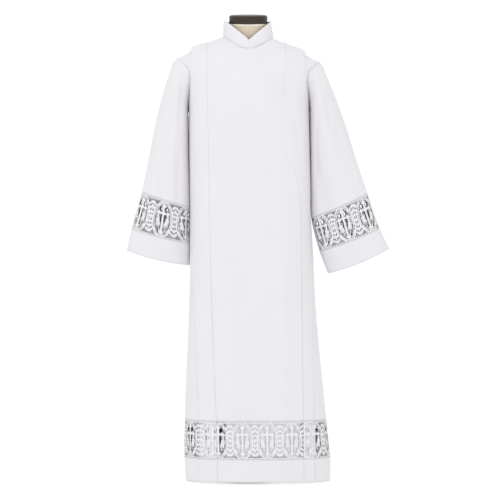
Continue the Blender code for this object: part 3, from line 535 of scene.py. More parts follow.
def numbered(columns):
    """Columns with their numbers among the middle ones."""
    first = next(i for i, column in enumerate(columns) if column.place == "middle")
    return [(column, i - first) for i, column in enumerate(columns)]


COLUMNS = numbered(panel_columns())
MIDDLE = [i for i, (column, _) in enumerate(COLUMNS) if column.place == "middle"]


def column_angles(levels, side):
    """Angles for levels[..., column]."""
    angles = np.empty(levels.shape)
    for c, (column, index) in enumerate(COLUMNS):
        angles[..., c] = column_angle(column, index, levels[..., c], side)
    return angles


LOWEST_SHARE, HIGHEST_SHARE = 0.3, 1.6   # the search for a panel's top edge keeps between these


@cache
def top_shares(side):
    """The shares at which the columns end: on the neckline, or at the shoulder seam before the ridge."""
    start = np.full(len(COLUMNS), UNDERARM + 1)
    start_x = body_point(column_angles(start, side), start, side)[:, 0]
    on_panel = np.array([column.place != "side" for column, _ in COLUMNS])
    in_neck = on_panel & (np.abs(start_x) < NECK_HALF - 1)
    before_ridge = in_neck if side == BACK else np.full(len(COLUMNS), True)
    low = np.where(before_ridge, LOWEST_SHARE, 1.0)
    high = np.where(before_ridge, 1.0, HIGHEST_SHARE)
    for _ in range(HALVINGS):
        share = (low + high) / 2
        levels = UNDERARM + share
        points = body_point(column_angles(levels, side), levels, side)
        curve = np.maximum(1 - (points[:, 0] / NECK_HALF) ** 2, 0.0) ** 0.5
        neck_y = np.maximum(NECK_FRONT * curve, SEAM_FORWARD) if side == FRONT else NECK_BACK * curve
        limit = np.where(in_neck, neck_y, SEAM_FORWARD * -side)
        inside = points[:, 1] * side > limit
        low, high = np.where(inside, share, low), np.where(inside, high, share)
    return share


def cloth_points(levels, side):
    """Points of a panel for levels[row][column], with the pleats' layers laid on each other."""
    points, out = body_frame(column_angles(levels, side), levels, side)
    layers = np.array([column.layer for column, _ in COLUMNS])
    proud = layers * PLEAT_PITCH + pleat_looseness(levels, side)
    return points + out * proud[..., None]


# How far a pleat stands off, in mm: its layers and its outer edge at the hem, its outer corner at the
# shoulder, and the front's inner edges at the chest.
PLEAT_LIFT, OUTER_LIFT = 1.6, 3.5
CORNER_LIFT = {"left": 5.0, "right": 3.0}
CORNER_FROM, CORNER_OVER = 0.62, 0.25       # shares above the underarm over which that corner lifts
EDGE_LIFT = {"left": 0.0, "right": 4.5}
EDGE_LOW, EDGE_HIGH, EDGE_FADE = 1060.0, 1440.0, 90.0
WANDER_LONG, WANDER_SHORT, WANDER_SHARE = 143, 61, 0.45   # the lift's unevenness: mm, mm and share
WANDER_PHASE = {FRONT: 0.9, BACK: 2.1}
LOOSE_OVER = 900             # mm below the underarm over which it grows


def edge_weights(place, own_share):
    """1 on the columns of the pleats' edges at this place, falling to 0 across the top layer."""
    weights = []
    for column, _ in COLUMNS:
        share = own_share(column.share) if column.place == "top" else float(column.place == place)
        weights.append(share * min(column.layer, 1.0))
    return np.array(weights)


def pleat_looseness(levels, side):
    """How far the layers stand off: the top ones unevenly, lower down, and their edges at the top."""
    z = np.minimum(levels, UNDERARM)
    phase = WANDER_PHASE[side]
    long_wave, short_wave = np.sin(z / WANDER_LONG + phase), np.sin(z / WANDER_SHORT + 2 * phase)
    wander = 1 - WANDER_SHARE + WANDER_SHARE * long_wave * short_wave
    fall = ease((UNDERARM - z) / LOOSE_OVER)
    loose = np.array([column.layer / 2 for column, _ in COLUMNS])
    share = levels - UNDERARM
    height = np.where(share > 0, UNDERARM + share * (FRONT_PLEATS[-1].z - UNDERARM), levels)
    outer = edge_weights("out", lambda t: (1 - t) ** 2)
    corner_lifts = np.array([CORNER_LIFT.get(column.zone, 0.0) for column, _ in COLUMNS])
    corners = corner_lifts * outer * ease((share - CORNER_FROM) / CORNER_OVER)
    edge_lifts = np.array([EDGE_LIFT.get(column.zone, 0.0) for column, _ in COLUMNS]) * (side == FRONT)
    window = ease((height - EDGE_LOW) / EDGE_FADE) * ease((EDGE_HIGH - height) / EDGE_FADE)
    edges = edge_lifts * edge_weights("in", lambda t: t ** 3) * window
    return (loose * PLEAT_LIFT + outer * OUTER_LIFT) * wander * fall + corners + edges


# ---- meshes
def add_mesh(name, points, faces, material, uvs=None, smooth_angle=60, flip=False):
    """A mesh object from points in millimetres, with uvs per vertex in metres. flip turns its faces over."""
    mesh = bpy.data.meshes.new(name)
    if flip:
        faces = [face[::-1] for face in faces]
    mesh.from_pydata((np.asarray(points) * MM).tolist(), [], faces)
    mesh.update()
    mesh.shade_smooth()
    mesh.set_sharp_from_angle(angle=radians(smooth_angle))
    mesh.materials.append(material)
    if uvs is not None:
        layer = mesh.uv_layers.new(name="cloth")
        corner = np.empty(len(mesh.loops), dtype=np.int32)
        mesh.loops.foreach_get("vertex_index", corner)
        layer.data.foreach_set("uv", np.asarray(uvs, np.float32)[corner].ravel())
    obj = bpy.data.objects.new(name, mesh)
    bpy.context.collection.objects.link(obj)
    return obj


def grid_faces(rows, columns, tube=False):
    faces = []
    for r in range(rows - 1):
        for c in range(columns if tube else columns - 1):
            beside = (c + 1) % columns
            low, high = r * columns, (r + 1) * columns
            faces.append((low + c, low + beside, high + beside, high + c))
    return faces


def thicken(obj, thickness, inside=None):
    """Gives a sheet its thickness, and its wrong side a material of its own if there is one."""
    solid = obj.modifiers.new("thickness", "SOLIDIFY")
    solid.thickness = thickness * MM
    solid.offset = 0.0
    solid.use_rim = True
    if inside:
        obj.data.materials.append(inside)
        solid.material_offset = 1
    return obj


def chart(points):
    """Flat u and v of a grid of points in metres: u along its middle row, v up its middle column."""
    rows, columns = points.shape[:2]
    across = np.linalg.norm(np.diff(points[rows // 2], axis=0), axis=1)
    up = np.linalg.norm(np.diff(points[:, columns // 2], axis=0), axis=1)
    u = np.concatenate([[0], np.cumsum(across)])
    v = np.concatenate([[0], np.cumsum(up)])
    return u, v


def chart_uvs(u, v):
    """The chart of a grid's points as UVs."""
    return np.stack(np.meshgrid(u, v), -1).reshape(-1, 2) * MM


def grid_sheet(name, points, material, flip=False):
    """A sheet of cloth from a grid of points, with its chart as UVs."""
    rows, columns = points.shape[:2]
    faces = grid_faces(rows, columns)
    uvs = chart_uvs(*chart(points))
    return thicken(add_mesh(name, points.reshape(-1, 3), faces, material, uvs, flip=flip), CLOTH)


# ---- body panels and hem bands
def panel_levels(side):
    low = np.linspace(LACE_TOP + SEAM_GAP, UNDERARM, int((UNDERARM - LACE_TOP) / ROW_STEP))
    shares = np.linspace(0, 1, TOP_FINE + 1)[1:]
    top_levels = UNDERARM + shares[:, None] * top_shares(side)
    return np.concatenate([np.repeat(low[:, None], len(COLUMNS), 1), top_levels])


def body_panel(name, side, material):
    return grid_sheet(name, cloth_points(panel_levels(side), side), material, flip=side == BACK)


def band_points(bottom, top, rows, side):
    return cloth_points(np.repeat(np.linspace(bottom, top, rows)[:, None], len(COLUMNS), 1), side)


def hem_band(name, side, material):
    points = band_points(0.0, HEM_TOP - SEAM_GAP, HEM_ROWS, side)
    return grid_sheet(name, points, material, flip=side == BACK)


def front_under(material):
    """The other front, wrapped under the over front as far as the lace shows it."""
    low = np.linspace(UNDER_HEM, UNDERARM, UNDER_ROWS)
    above = np.linspace(0, FRONT_PLEATS[-1].z - UNDERARM, UNDER_TOP_ROWS)[1:]
    z = np.concatenate([low, UNDERARM + above])
    left = smooth(UNDER_EDGE, "x", z)
    right = smooth(FRONT_PLEATS, "right_in", z) - UNDER_SHORT
    x = left[:, None] + (right - left)[:, None] * np.linspace(0, 1, UNDER_COLUMNS)
    top_x = [float(column_x(*COLUMNS[i], UNDERARM + 1, FRONT)) for i in MIDDLE]
    share = np.clip((z - UNDERARM) / (FRONT_PLEATS[-1].z - UNDERARM), 0, 1)[:, None]
    reach = np.interp(x, top_x, top_shares(FRONT)[MIDDLE])
    levels = np.where(z[:, None] > UNDERARM, UNDERARM + share * reach, z[:, None])
    points, out = body_frame(angle_at(x, levels), levels, FRONT)
    return grid_sheet("front_under_cloth", points - out * UNDER_SUNK, material)


# ---- sleeves
def armhole_loop(count):
    """Shares of the armhole from underarm, up the front, over the shoulder and down the back."""
    return np.arange(count) * 2 / count


def sleeve_point(row, share):
    """Points of a flattened oval section; share is 0 and 2 at its inner end, 1 at its outer end."""
    out, inn = np.array([row.out_x, 0, row.out_z]), np.array([row.in_x, 0, row.in_z])
    along = ((1 - np.cos(pi * share)) / 2)[:, None]
    swell = np.abs(np.sin(pi * share)) ** SLEEVE_SWELL
    depth = np.where(share < 1, -row.front * swell, row.back * swell)
    points = inn + (out - inn) * along
    points[:, 1] += depth
    points[:, 2] -= row.droop * np.sin(pi * share) ** 2
    return points


def sleeve_stations(table, hand, shares):
    """The sleeve's sections, from the armhole down."""
    angle = 1e-4 if hand > 0 else pi - 1e-4
    armhole = body_point(angle, UNDERARM + np.maximum(shares, 1e-6), FRONT)
    out = CROWN_CLOSE + (CROWN_OUT - CROWN_CLOSE) * np.sin(pi * shares / 2)
    crown = armhole + np.stack([hand * out, out * 0, out * 0 - CROWN_DROP], -1)
    return np.array([armhole, crown] + [sleeve_point(row, shares) for row in table])


def between_stations(stations, at):
    """Points at fractional station numbers, on smooth curves through the stations."""
    count = len(stations)
    lengths = np.linalg.norm(np.diff(stations.mean(1), axis=0), axis=1)
    knots = np.concatenate([[0], np.cumsum(lengths)])
    tangents = np.gradient(stations, knots, axis=0)
    i = np.clip(np.floor(at).astype(int), 0, count - 2)
    t = (at - i)[:, None, None]
    return on_cubic(stations, tangents, i, lengths[i][:, None, None], t)


SLEEVE_RUMPLE, SIDE_APART = 1.6, 900      # closer waves, and others at the front than at the back
FOLDS_FROM, FOLDS_OVER = 0.4, 1.2         # stations over which the creases begin
FOLDS_EDGE = 0.7                          # power of their fading towards the sleeve's edges


def sleeve_surface(table, hand, first, last, shares):
    """A grid of points of a sleeve between two stations, with its creases."""
    stations = sleeve_stations(table, hand, shares)
    lengths = np.linalg.norm(np.diff(stations.mean(1), axis=0), axis=1)
    at = []
    for station in range(first, last):
        count = max(int(lengths[station] / ALONG_STEP), 2)
        at += [station + i / count for i in range(count)]
    at.append(last)
    points = between_stations(stations, np.array(at, float))
    around = np.roll(points, -1, axis=1) - np.roll(points, 1, axis=1)
    down = np.gradient(points, axis=0)
    out = unit(np.cross(around, down) * -hand)
    x, z = points[..., 0], points[..., 2]
    on_front = points[..., 1] < 0
    folds = np.where(on_front, fold_depth(SLEEVE_FRONT_FOLDS, x, z), fold_depth(SLEEVE_BACK_FOLDS, x, z))
    folds = folds + rumple(x * SLEEVE_RUMPLE + SIDE_APART * on_front, z)
    start = ease((np.array(at) - FOLDS_FROM) / FOLDS_OVER)[:, None]
    edges = np.abs(np.sin(pi * shares)) ** FOLDS_EDGE
    return points + out * (folds * edges * start)[..., None]


def sleeve_tube(name, table, hand, first, last, material):
    shares = armhole_loop(AROUND_FINE)
    points = sleeve_surface(table, hand, first, last, shares)
    rows, columns = points.shape[:2]
    closed = np.concatenate([points, points[:, :1]], 1)
    u, v = chart(closed)
    faces = grid_faces(rows, columns + 1)
    obj = add_mesh(name, closed.reshape(-1, 3), faces, material, chart_uvs(u, v[::-1]), flip=hand > 0)
    return thicken(weld(obj), CLOTH)


def weld(obj):
    """Joins a tube's two edges where they meet."""
    join = obj.modifiers.new("join", "WELD")
    join.merge_threshold = 0.00001
    return obj


# ---- the lace's pattern
# Strengths in mm, positive inside a thread. x and y are from a medallion's centre; its right half is drawn
# and mirrored. Cross medallions alternate with leaf sprays on a net ground; all of it is generic.
LACE_CELL = 1.25
RIM_HALF, RIM_TALL, RIM_THREAD = 33.0, 58.0, 2.0
INNER_RIM, INNER_THREAD = 5.6, 1.0         # the inner rim lies this far inside the outer one
RUNGS = 44
NET_PITCH, NET_THREAD = 6.4, 0.75
BORDER, EYELET_PITCH, EYELET = 5.0, 5.4, 1.5
SHADE_SHEET_CELL, SHADE_SHEET_SINK, SHADE_SHEET_THICK = 4.0, 0.7, 0.2   # the thin sheet of painted shade behind the threads, for the shadow inside the robe
Stroke = namedtuple("Stroke", "x0 y0 x1 y1 width")
STROKES = [
    Stroke(0, -42, 0, 42, 2.7),            # the cross's shaft
    Stroke(0, 19, 16, 19, 2.5),            # its arm
    Stroke(7, -44, 12, -24, 0.8),          # a wheat ear's stalk
    Stroke(12, -24, 17, 4, 0.8),
    Stroke(40.5, -50, 40.5, 50, 0.9),      # the spray's stalk
]
Bud = namedtuple("Bud", "x y radius")
BUDS = [
    Bud(0, 45, 4.2), Bud(4.6, 41, 2.8), Bud(18.5, 19, 3.8), Bud(15.5, 23, 2.6), Bud(15.5, 15, 2.6),
    Bud(0, -45, 4.2), Bud(4.6, -42.5, 2.8), Bud(0, 19, 5.0),
]
Leaf = namedtuple("Leaf", "x y length width turn")
GRAINS = [
    Leaf(9.6, -17, 5.0, 2.1, 62), Leaf(16.6, -19, 5.0, 2.1, 112), Leaf(11.2, -9, 5.0, 2.1, 62),
    Leaf(18.2, -11, 5.0, 2.1, 112), Leaf(12.8, -1, 5.0, 2.1, 64), Leaf(19.6, -3, 5.0, 2.1, 110),
    Leaf(16.8, 7.5, 5.2, 2.2, 84), Leaf(21, -36, 6.5, 2.2, 60),
]
SPRAYS = [
    Leaf(34, -44, 8.0, 3.2, 128), Leaf(35, -29, 7.0, 3.0, 128), Leaf(36, -15, 5.4, 2.4, 128),
    Leaf(36, 15, 5.4, 2.4, 52), Leaf(35, 29, 7.0, 3.0, 52), Leaf(34, 44, 8.0, 3.2, 52),
    Leaf(40.5, 0, 3.2, 6.4, 0), Leaf(37.4, 0, 4.6, 2.0, 0),
]
# Half a repeat's open places, close to those the solids cut: centre, half sizes and lean in degrees.
Gap = namedtuple("Gap", "x y half_width half_height lean")
OPEN_PLACES = [
    Gap(14.5, 50, 7.5, 2.6, 27),
    Gap(9.5, 33, 4.6, 7.0, 0),
    Gap(6.3, 2, 2.4, 14.0, 0),
    Gap(9.0, -37, 3.4, 7.0, 0),
    Gap(14.5, -50, 7.5, 2.6, -27),
    Gap(24.5, 28, 3.4, 9.0, 20),
    Gap(25.5, -18, 2.8, 9.0, -6),
]


def to_segment(x, y, s):
    dx, dy = s.x1 - s.x0, s.y1 - s.y0
    t = np.clip(((x - s.x0) * dx + (y - s.y0) * dy) / (dx * dx + dy * dy), 0, 1)
    return np.hypot(x - s.x0 - t * dx, y - s.y0 - t * dy)


def in_oval(x, y, cx, cy, a, b, turn):
    """How far inside a turned ellipse, in mm, roughly."""
    c, s = cos(radians(turn)), sin(radians(turn))
    px, py = (x - cx) * c + (y - cy) * s, (y - cy) * c - (x - cx) * s
    k = np.hypot(px / a, py / b)
    return (1 - k) * min(a, b)


def rim(x, y, half, tall, thread):
    """An oval line."""
    k = np.hypot(x / half, y / tall)
    slope = np.maximum(np.hypot(x / half ** 2, y / tall ** 2), 1e-6)
    return thread - np.abs(k * (k - 1) / slope)


def in_repeat(u, v, centre, height):
    """Chart points from the centre of their own medallion, with its right half standing for both."""
    return np.abs((u - centre + LACE_PITCH / 2) % LACE_PITCH - LACE_PITCH / 2), v - height / 2


def off_gaps(x, y):
    """How far outside the nearest open place."""
    away = [-in_oval(x, y, gap.x, gap.y, gap.half_width, gap.half_height, -gap.lean) for gap in OPEN_PLACES]
    return np.min(away, axis=0)


def shade_sheet_strength(u, v, centre, height):
    """The sheet of painted shade behind the lace, for the shadow inside the robe: whole but for the open
    places.
    """
    return off_gaps(*in_repeat(u, v, centre, height))


def lace_strength(u, v, centre, height):
    """The lace's strength at chart points; centre is the u of one medallion."""
    x, y = in_repeat(u, v, centre, height)
    lean_u, lean_v = (u + v) % NET_PITCH, (u - v) % NET_PITCH
    cells = NET_PITCH / 2 - np.maximum(np.abs(lean_u - NET_PITCH / 2), np.abs(lean_v - NET_PITCH / 2))
    strength = np.minimum(NET_THREAD - cells, off_gaps(x, y))
    inside = in_oval(x, y, 0, 0, RIM_HALF, RIM_TALL, 0)
    angle = np.arctan2(y / RIM_TALL, x / RIM_HALF)
    rung = 0.7 - np.abs(np.sin(angle * RUNGS / 2)) * 3.0
    between = np.minimum(inside, INNER_RIM - inside)
    strength = np.maximum(strength, np.minimum(rung, between))
    strength = np.maximum(strength, rim(x, y, RIM_HALF, RIM_TALL, RIM_THREAD))
    strength = np.maximum(strength, rim(x, y, RIM_HALF - INNER_RIM, RIM_TALL - INNER_RIM, INNER_THREAD))
    for stroke in STROKES:
        strength = np.maximum(strength, stroke.width - to_segment(x, y, stroke))
    for bud in BUDS:
        strength = np.maximum(strength, bud.radius - np.hypot(x - bud.x, y - bud.y))
    for leaf in GRAINS + SPRAYS:
        strength = np.maximum(strength, in_oval(x, y, leaf.x, leaf.y, leaf.length, leaf.width, leaf.turn))
    edge = height / 2 - np.abs(y)
    eyelet = np.hypot((u - centre) % EYELET_PITCH - EYELET_PITCH / 2, edge - BORDER / 2) - EYELET
    return np.where(edge < BORDER, eyelet, np.maximum(strength, 0.8 - (edge - BORDER)))


# Which corners (a to d, anticlockwise) and edge points (ab to da) bound the solid part of a cell, by the
# corners that are solid: a is 1, b is 2, c is 4 and d is 8.
CELL_CASES = {
    1: ["a ab da"], 2: ["b bc ab"], 3: ["a b bc da"], 4: ["c cd bc"], 5: ["a ab da", "c cd bc"],
    6: ["b c cd ab"], 7: ["a b c cd da"], 8: ["d da cd"], 9: ["a ab cd d"], 10: ["b bc ab", "d da cd"],
    11: ["a b bc cd d"], 12: ["c d da bc"], 13: ["a ab bc c d"], 14: ["b c d da ab"], 15: ["a b c d"],
}


def cut_lace(strength, us, vs):
    """Chart points and faces of the places where the strength is above 0 (marching squares)."""
    solid = strength > 0
    grid_u, grid_v = np.meshgrid(us, vs)
    points = []
    count = 0

    def keep(mask, u, v):
        nonlocal count
        table = np.full(mask.shape, -1)
        table[mask] = np.arange(count, count + mask.sum())
        count += int(mask.sum())
        points.append(np.stack([u[mask], v[mask]], -1))
        return table

    def crossing(first, second):
        return np.clip(first / np.where(first == second, 1, first - second), 0.08, 0.92)

    corner = keep(solid, grid_u, grid_v)
    t = crossing(strength[:, :-1], strength[:, 1:])
    flat = keep(solid[:, :-1] != solid[:, 1:], grid_u[:, :-1] + t * np.diff(grid_u, axis=1), grid_v[:, :-1])
    t = crossing(strength[:-1], strength[1:])
    tall = keep(solid[:-1] != solid[1:], grid_u[:-1], grid_v[:-1] + t * np.diff(grid_v, axis=0))
    places = {
        "a": corner[:-1, :-1], "b": corner[:-1, 1:], "c": corner[1:, 1:], "d": corner[1:, :-1],
        "ab": flat[:-1], "cd": flat[1:], "da": tall[:, :-1], "bc": tall[:, 1:],
    }
    case = solid[:-1, :-1] * 1 + solid[:-1, 1:] * 2 + solid[1:, 1:] * 4 + solid[1:, :-1] * 8
    faces = []
    for number, outlines in CELL_CASES.items():
        mask = case == number
        for outline in outlines:
            faces += np.stack([places[p][mask] for p in outline.split()], -1).tolist()
    return np.concatenate(points), faces


def cut_grid(points, u, v, strength_at, centre, cell):
    """A grid of points cut to a pattern in its chart: chart points, the same laid on the grid, and faces."""
    us = np.linspace(u[0], u[-1], int((u[-1] - u[0]) / cell) + 1)
    vs = np.linspace(0, v[-1], int(v[-1] / cell) + 1)
    grid_u, grid_v = np.meshgrid(us, vs)
    flat, faces = cut_lace(strength_at(grid_u, grid_v, centre, v[-1]), us, vs)
    column = np.clip(np.searchsorted(u, flat[:, 0], side="right") - 1, 0, len(u) - 2)
    row = np.clip(np.searchsorted(v, flat[:, 1], side="right") - 1, 0, len(v) - 2)
    s = ((flat[:, 0] - u[column]) / (u[column + 1] - u[column]))[:, None]
    t = ((flat[:, 1] - v[row]) / (v[row + 1] - v[row]))[:, None]
    low = points[row, column] * (1 - s) + points[row, column + 1] * s
    high = points[row + 1, column] * (1 - s) + points[row + 1, column + 1] * s
    return flat, low * (1 - t) + high * t, faces


def cut_sheet(name, points, u, v, strength_at, centre, cell, material, flip):
    flat, laid, faces = cut_grid(points, u, v, strength_at, centre, cell)
    return add_mesh(name, laid, faces, material, flat * MM, flip=flip)


def lace_sheet(name, points, centre, material, flip, shade_backed):
    """Pieces of lace on a grid of points, each with its share of the lace's width: the threads, which are a
    surface without thickness, and behind each run of shade-backed columns a thin near-black sheet of
    painted shade, standing in for the shadow inside the robe."""
    u, v = chart(points)
    threads = cut_sheet(name, points, u, v, lace_strength, centre, LACE_CELL, material, flip)
    pieces = [(threads, 1.0)]
    out = unit(np.cross(np.gradient(points, axis=1), np.gradient(points, axis=0))) * (-1 if flip else 1)
    sunk = points - out * SHADE_SHEET_SINK
    for i, part in enumerate(shade_backed, 1):
        label = f"{name}_ground_{i}"
        where = (sunk[:, part], u[part], v)
        shade_sheet = cut_sheet(label, *where, shade_sheet_strength, centre, SHADE_SHEET_CELL, painted_shade_cloth, flip)
        pieces.append((thicken(shade_sheet, SHADE_SHEET_THICK), float(np.ptp(u[part]) / u[-1])))
    return pieces


ALL_COLUMNS = [slice(None)]
SIDE_COLUMNS = [slice(0, SIDE_FINE + 1), slice(-SIDE_FINE - 1, None)]   # outside the pleats


def hem_lace(name, side, centre_x, material):
    points = band_points(HEM_TOP, LACE_TOP, LACE_ROWS, side)
    u, _ = chart(points)
    centre = float(np.interp(centre_x, points[points.shape[0] // 2, MIDDLE, 0], u[MIDDLE]))
    # painted shade behind all of the back lace, and behind the front's only outside its pleats
    shade_backed = ALL_COLUMNS if side == BACK else SIDE_COLUMNS
    return lace_sheet(name, points, centre, material, side == BACK, shade_backed)


def sleeve_lace(name, table, hand, side, material):
    shares = np.linspace(0 if side == FRONT else 2, 1, AROUND_FINE // 2 + 1)
    first, last = SEAM_RINGS + LACE_RING, SEAM_RINGS + CUFF_RING
    points = sleeve_surface(table, hand, first, last, armhole_loop(AROUND_FINE))
    picked = (np.round(shares * AROUND_FINE / 2).astype(int)) % AROUND_FINE
    points = points[::-1][:, picked]
    u, _ = chart(points)
    flip = (hand > 0) != (side == FRONT)
    # painted shade behind the whole of the sleeve's lace
    return lace_sheet(name, points, u[-1] / 2, material, flip, ALL_COLUMNS)


# ---- collar
def neckline():
    """The body's neck edge as angles from centre back towards +X, and points, all the way round."""
    points = []
    for side in (BACK, FRONT):
        levels = UNDERARM + top_shares(side)
        points.append(body_point(column_angles(levels, side), levels, side)[MIDDLE])
    points = np.concatenate(points)
    angles = np.arctan2(points[:, 0], points[:, 1])
    order = np.argsort(angles)
    angles, points = angles[order], points[order]
    return np.concatenate([angles - 2 * pi, angles, angles + 2 * pi]), np.concatenate([points] * 3)


def collar_half(name, hand, layers, material):
    """From centre back round one side to centre front and past it. layers sinks its front under the other."""
    angles, points = neckline()
    steps, rows = COLLAR_STEPS, COLLAR_ROWS
    last = pi + COLLAR_LAP / NECK_FRONT
    angle = np.linspace(0, last, steps + 1)
    wrapped = np.where(angle <= pi, hand * angle, hand * (angle - 2 * pi))
    low = np.stack([np.interp(wrapped, angles, points[:, axis]) for axis in range(3)], -1)
    low[:, 2] += COLLAR_RISE
    reach = COLLAR_TOP_BACK + (COLLAR_TOP_FRONT - COLLAR_TOP_BACK) * ease(angle / pi * 2 - 0.5)
    high_x = COLLAR_TOP_SHIFT + hand * COLLAR_TOP_HALF * np.sin(angle)
    high = np.stack([high_x, reach * np.cos(angle), np.full(angle.shape, COLLAR_TOP)], -1)
    lap = np.maximum(angle - pi, 0) * NECK_FRONT
    front_x = np.where(angle > pi / 2, hand * high_x, COLLAR_TOP_HALF)
    share = 1 - np.minimum(np.abs(front_x) / COLLAR_TOP_HALF, 1)
    top_z = COLLAR_TOP - (COLLAR_TOP - COLLAR_NOTCH) * share
    top_z = np.where(lap > 0, COLLAR_NOTCH - (COLLAR_NOTCH - COLLAR_LAP_Z) * lap / COLLAR_LAP, top_z)
    top = (top_z - low[:, 2]) / (COLLAR_TOP - low[:, 2])
    out = unit(low * np.array([1, 1, 0]))
    sink = layers * ease((angle - COLLAR_SINK_FROM) / COLLAR_SINK_OVER)
    rise = np.linspace(0, 1, rows + 1)[:, None]
    up = rise * top
    grid = low + (high - low) * up[..., None] - out * sink[:, None]
    grid += out * (1.6 * np.sin(pi * rise) * ease(top * 2)[None])[..., None]
    grid[:, 0, 0] += hand * SEAM_GAP / 2
    u, _ = chart(grid)
    edge = up * (COLLAR_TOP - low[:, 2])
    uvs = np.stack([np.broadcast_to(u, edge.shape), edge.max(0) - edge], -1).reshape(-1, 2) * MM
    faces = grid_faces(rows + 1, steps + 1)
    obj = add_mesh(name, grid.reshape(-1, 3), faces, material, uvs, flip=hand > 0)
    # the collar's wrong side is painted shade, near black, for the shadow inside the collar
    thicken(obj, COLLAR_CLOTH, painted_shade_cloth)
    soft = obj.modifiers.new("soft edge", "BEVEL")
    soft.width = 0.5 * MM
    soft.segments = 2
    soft.limit_method = "ANGLE"
    return obj


# ---- dress form
HARD_ANGLE = 40              # degrees: edges that turn by more than this are sharp


def torso_rings(material):
    rows, sides = 150, 96
    z = np.linspace(TORSO[0].z, TORSO[-1].z, rows)
    angle = 2 * pi * np.arange(sides + 1) / sides
    half = smooth(TORSO, "half_width", z)[:, None]
    reach = np.where(np.sin(angle) < 0, smooth(TORSO, "front", z)[:, None], smooth(TORSO, "back", z)[:, None])
    x = half * power(np.cos(angle), TORSO_SQUARE)
    y = reach * power(np.sin(angle), TORSO_SQUARE)
    lean = y * NECK_LEAN * ease((z - NECK_BASE) / NECK_EASE)[:, None]
    points = np.stack([x, y, z[:, None] + lean], -1)
    uvs = chart_uvs(*chart(points))
    faces = grid_faces(rows, sides + 1)
    first, last = list(range(sides)), [(rows - 1) * (sides + 1) + i for i in range(sides)]
    obj = add_mesh("torso", points.reshape(-1, 3), faces + [first[::-1], last], material, uvs, HARD_ANGLE)
    return weld(obj)


def neck_cap(material):
    sides, steps = 96, 8
    profile = [(CAP_BOTTOM + SEAM_GAP, 0.0), (CAP_BOTTOM + SEAM_GAP, CAP_RADIUS - 1.5)]
    profile += [(CAP_BOTTOM + SEAM_GAP + 1.5, CAP_RADIUS)]
    for step in range(steps + 1):
        angle = pi / 2 * step / steps
        profile.append((CAP_TOP - CAP_ROUND * (1 - sin(angle)), CAP_RADIUS - CAP_ROUND * (1 - cos(angle))))
    profile.append((CAP_TOP, 0.0))
    angle = 2 * pi * np.arange(sides) / sides
    rows = []
    for z, radius in profile:
        y = radius * np.sin(angle)
        rows.append(np.stack([radius * np.cos(angle), y, z + y * NECK_LEAN], -1))
    points = np.array(rows)
    faces = grid_faces(len(profile), sides, True)
    return weld(add_mesh("neck_cap", points.reshape(-1, 3), faces, material, None, HARD_ANGLE))


# ---- materials
def new_material(name):
    """A material with its shader and a helper that adds linked nodes."""
    material = bpy.data.materials.new(name)
    material.use_nodes = True
    tree = material.node_tree
    shader = tree.nodes["Principled BSDF"]

    def add(kind, inputs=(), **settings):
        node = tree.nodes.new(kind)
        for key, value in settings.items():
            setattr(node, key, value)
        for key, value in dict(inputs).items():
            if isinstance(value, bpy.types.NodeSocket):
                tree.links.new(value, node.inputs[key])
            else:
                node.inputs[key].default_value = value
        return node

    return material, shader, add, tree.links.new


def math_node(add, operation, first, second=0.0):
    return add("ShaderNodeMath", {0: first, 1: second}, operation=operation).outputs[0]


WEAVE_PITCH = 0.0007         # metres from thread to thread
STITCH, STITCH_GAP, THREAD = 0.0026, 0.0008, 0.00045


def weave_height(add, u, v):
    """A plain weave's height, 0 to 1."""
    waves = []
    for along in (u, v):
        turns = math_node(add, "MULTIPLY", along, pi / WEAVE_PITCH)
        waves.append(math_node(add, "SINE", turns))
    over = math_node(add, "MULTIPLY", waves[0], waves[1])
    return math_node(add, "MULTIPLY_ADD", over, 0.5)


def stitch_mask(add, u, v, lines):
    """1 on the stitches of rows at these heights of the chart, in metres."""
    period = math_node(add, "MODULO", u, STITCH + STITCH_GAP)
    on = math_node(add, "LESS_THAN", period, STITCH)
    total = None
    for line in lines:
        off = math_node(add, "ABSOLUTE", math_node(add, "SUBTRACT", v, line))
        near = math_node(add, "LESS_THAN", off, THREAD)
        total = near if total is None else math_node(add, "MAXIMUM", total, near)
    return math_node(add, "MULTIPLY", total, on)


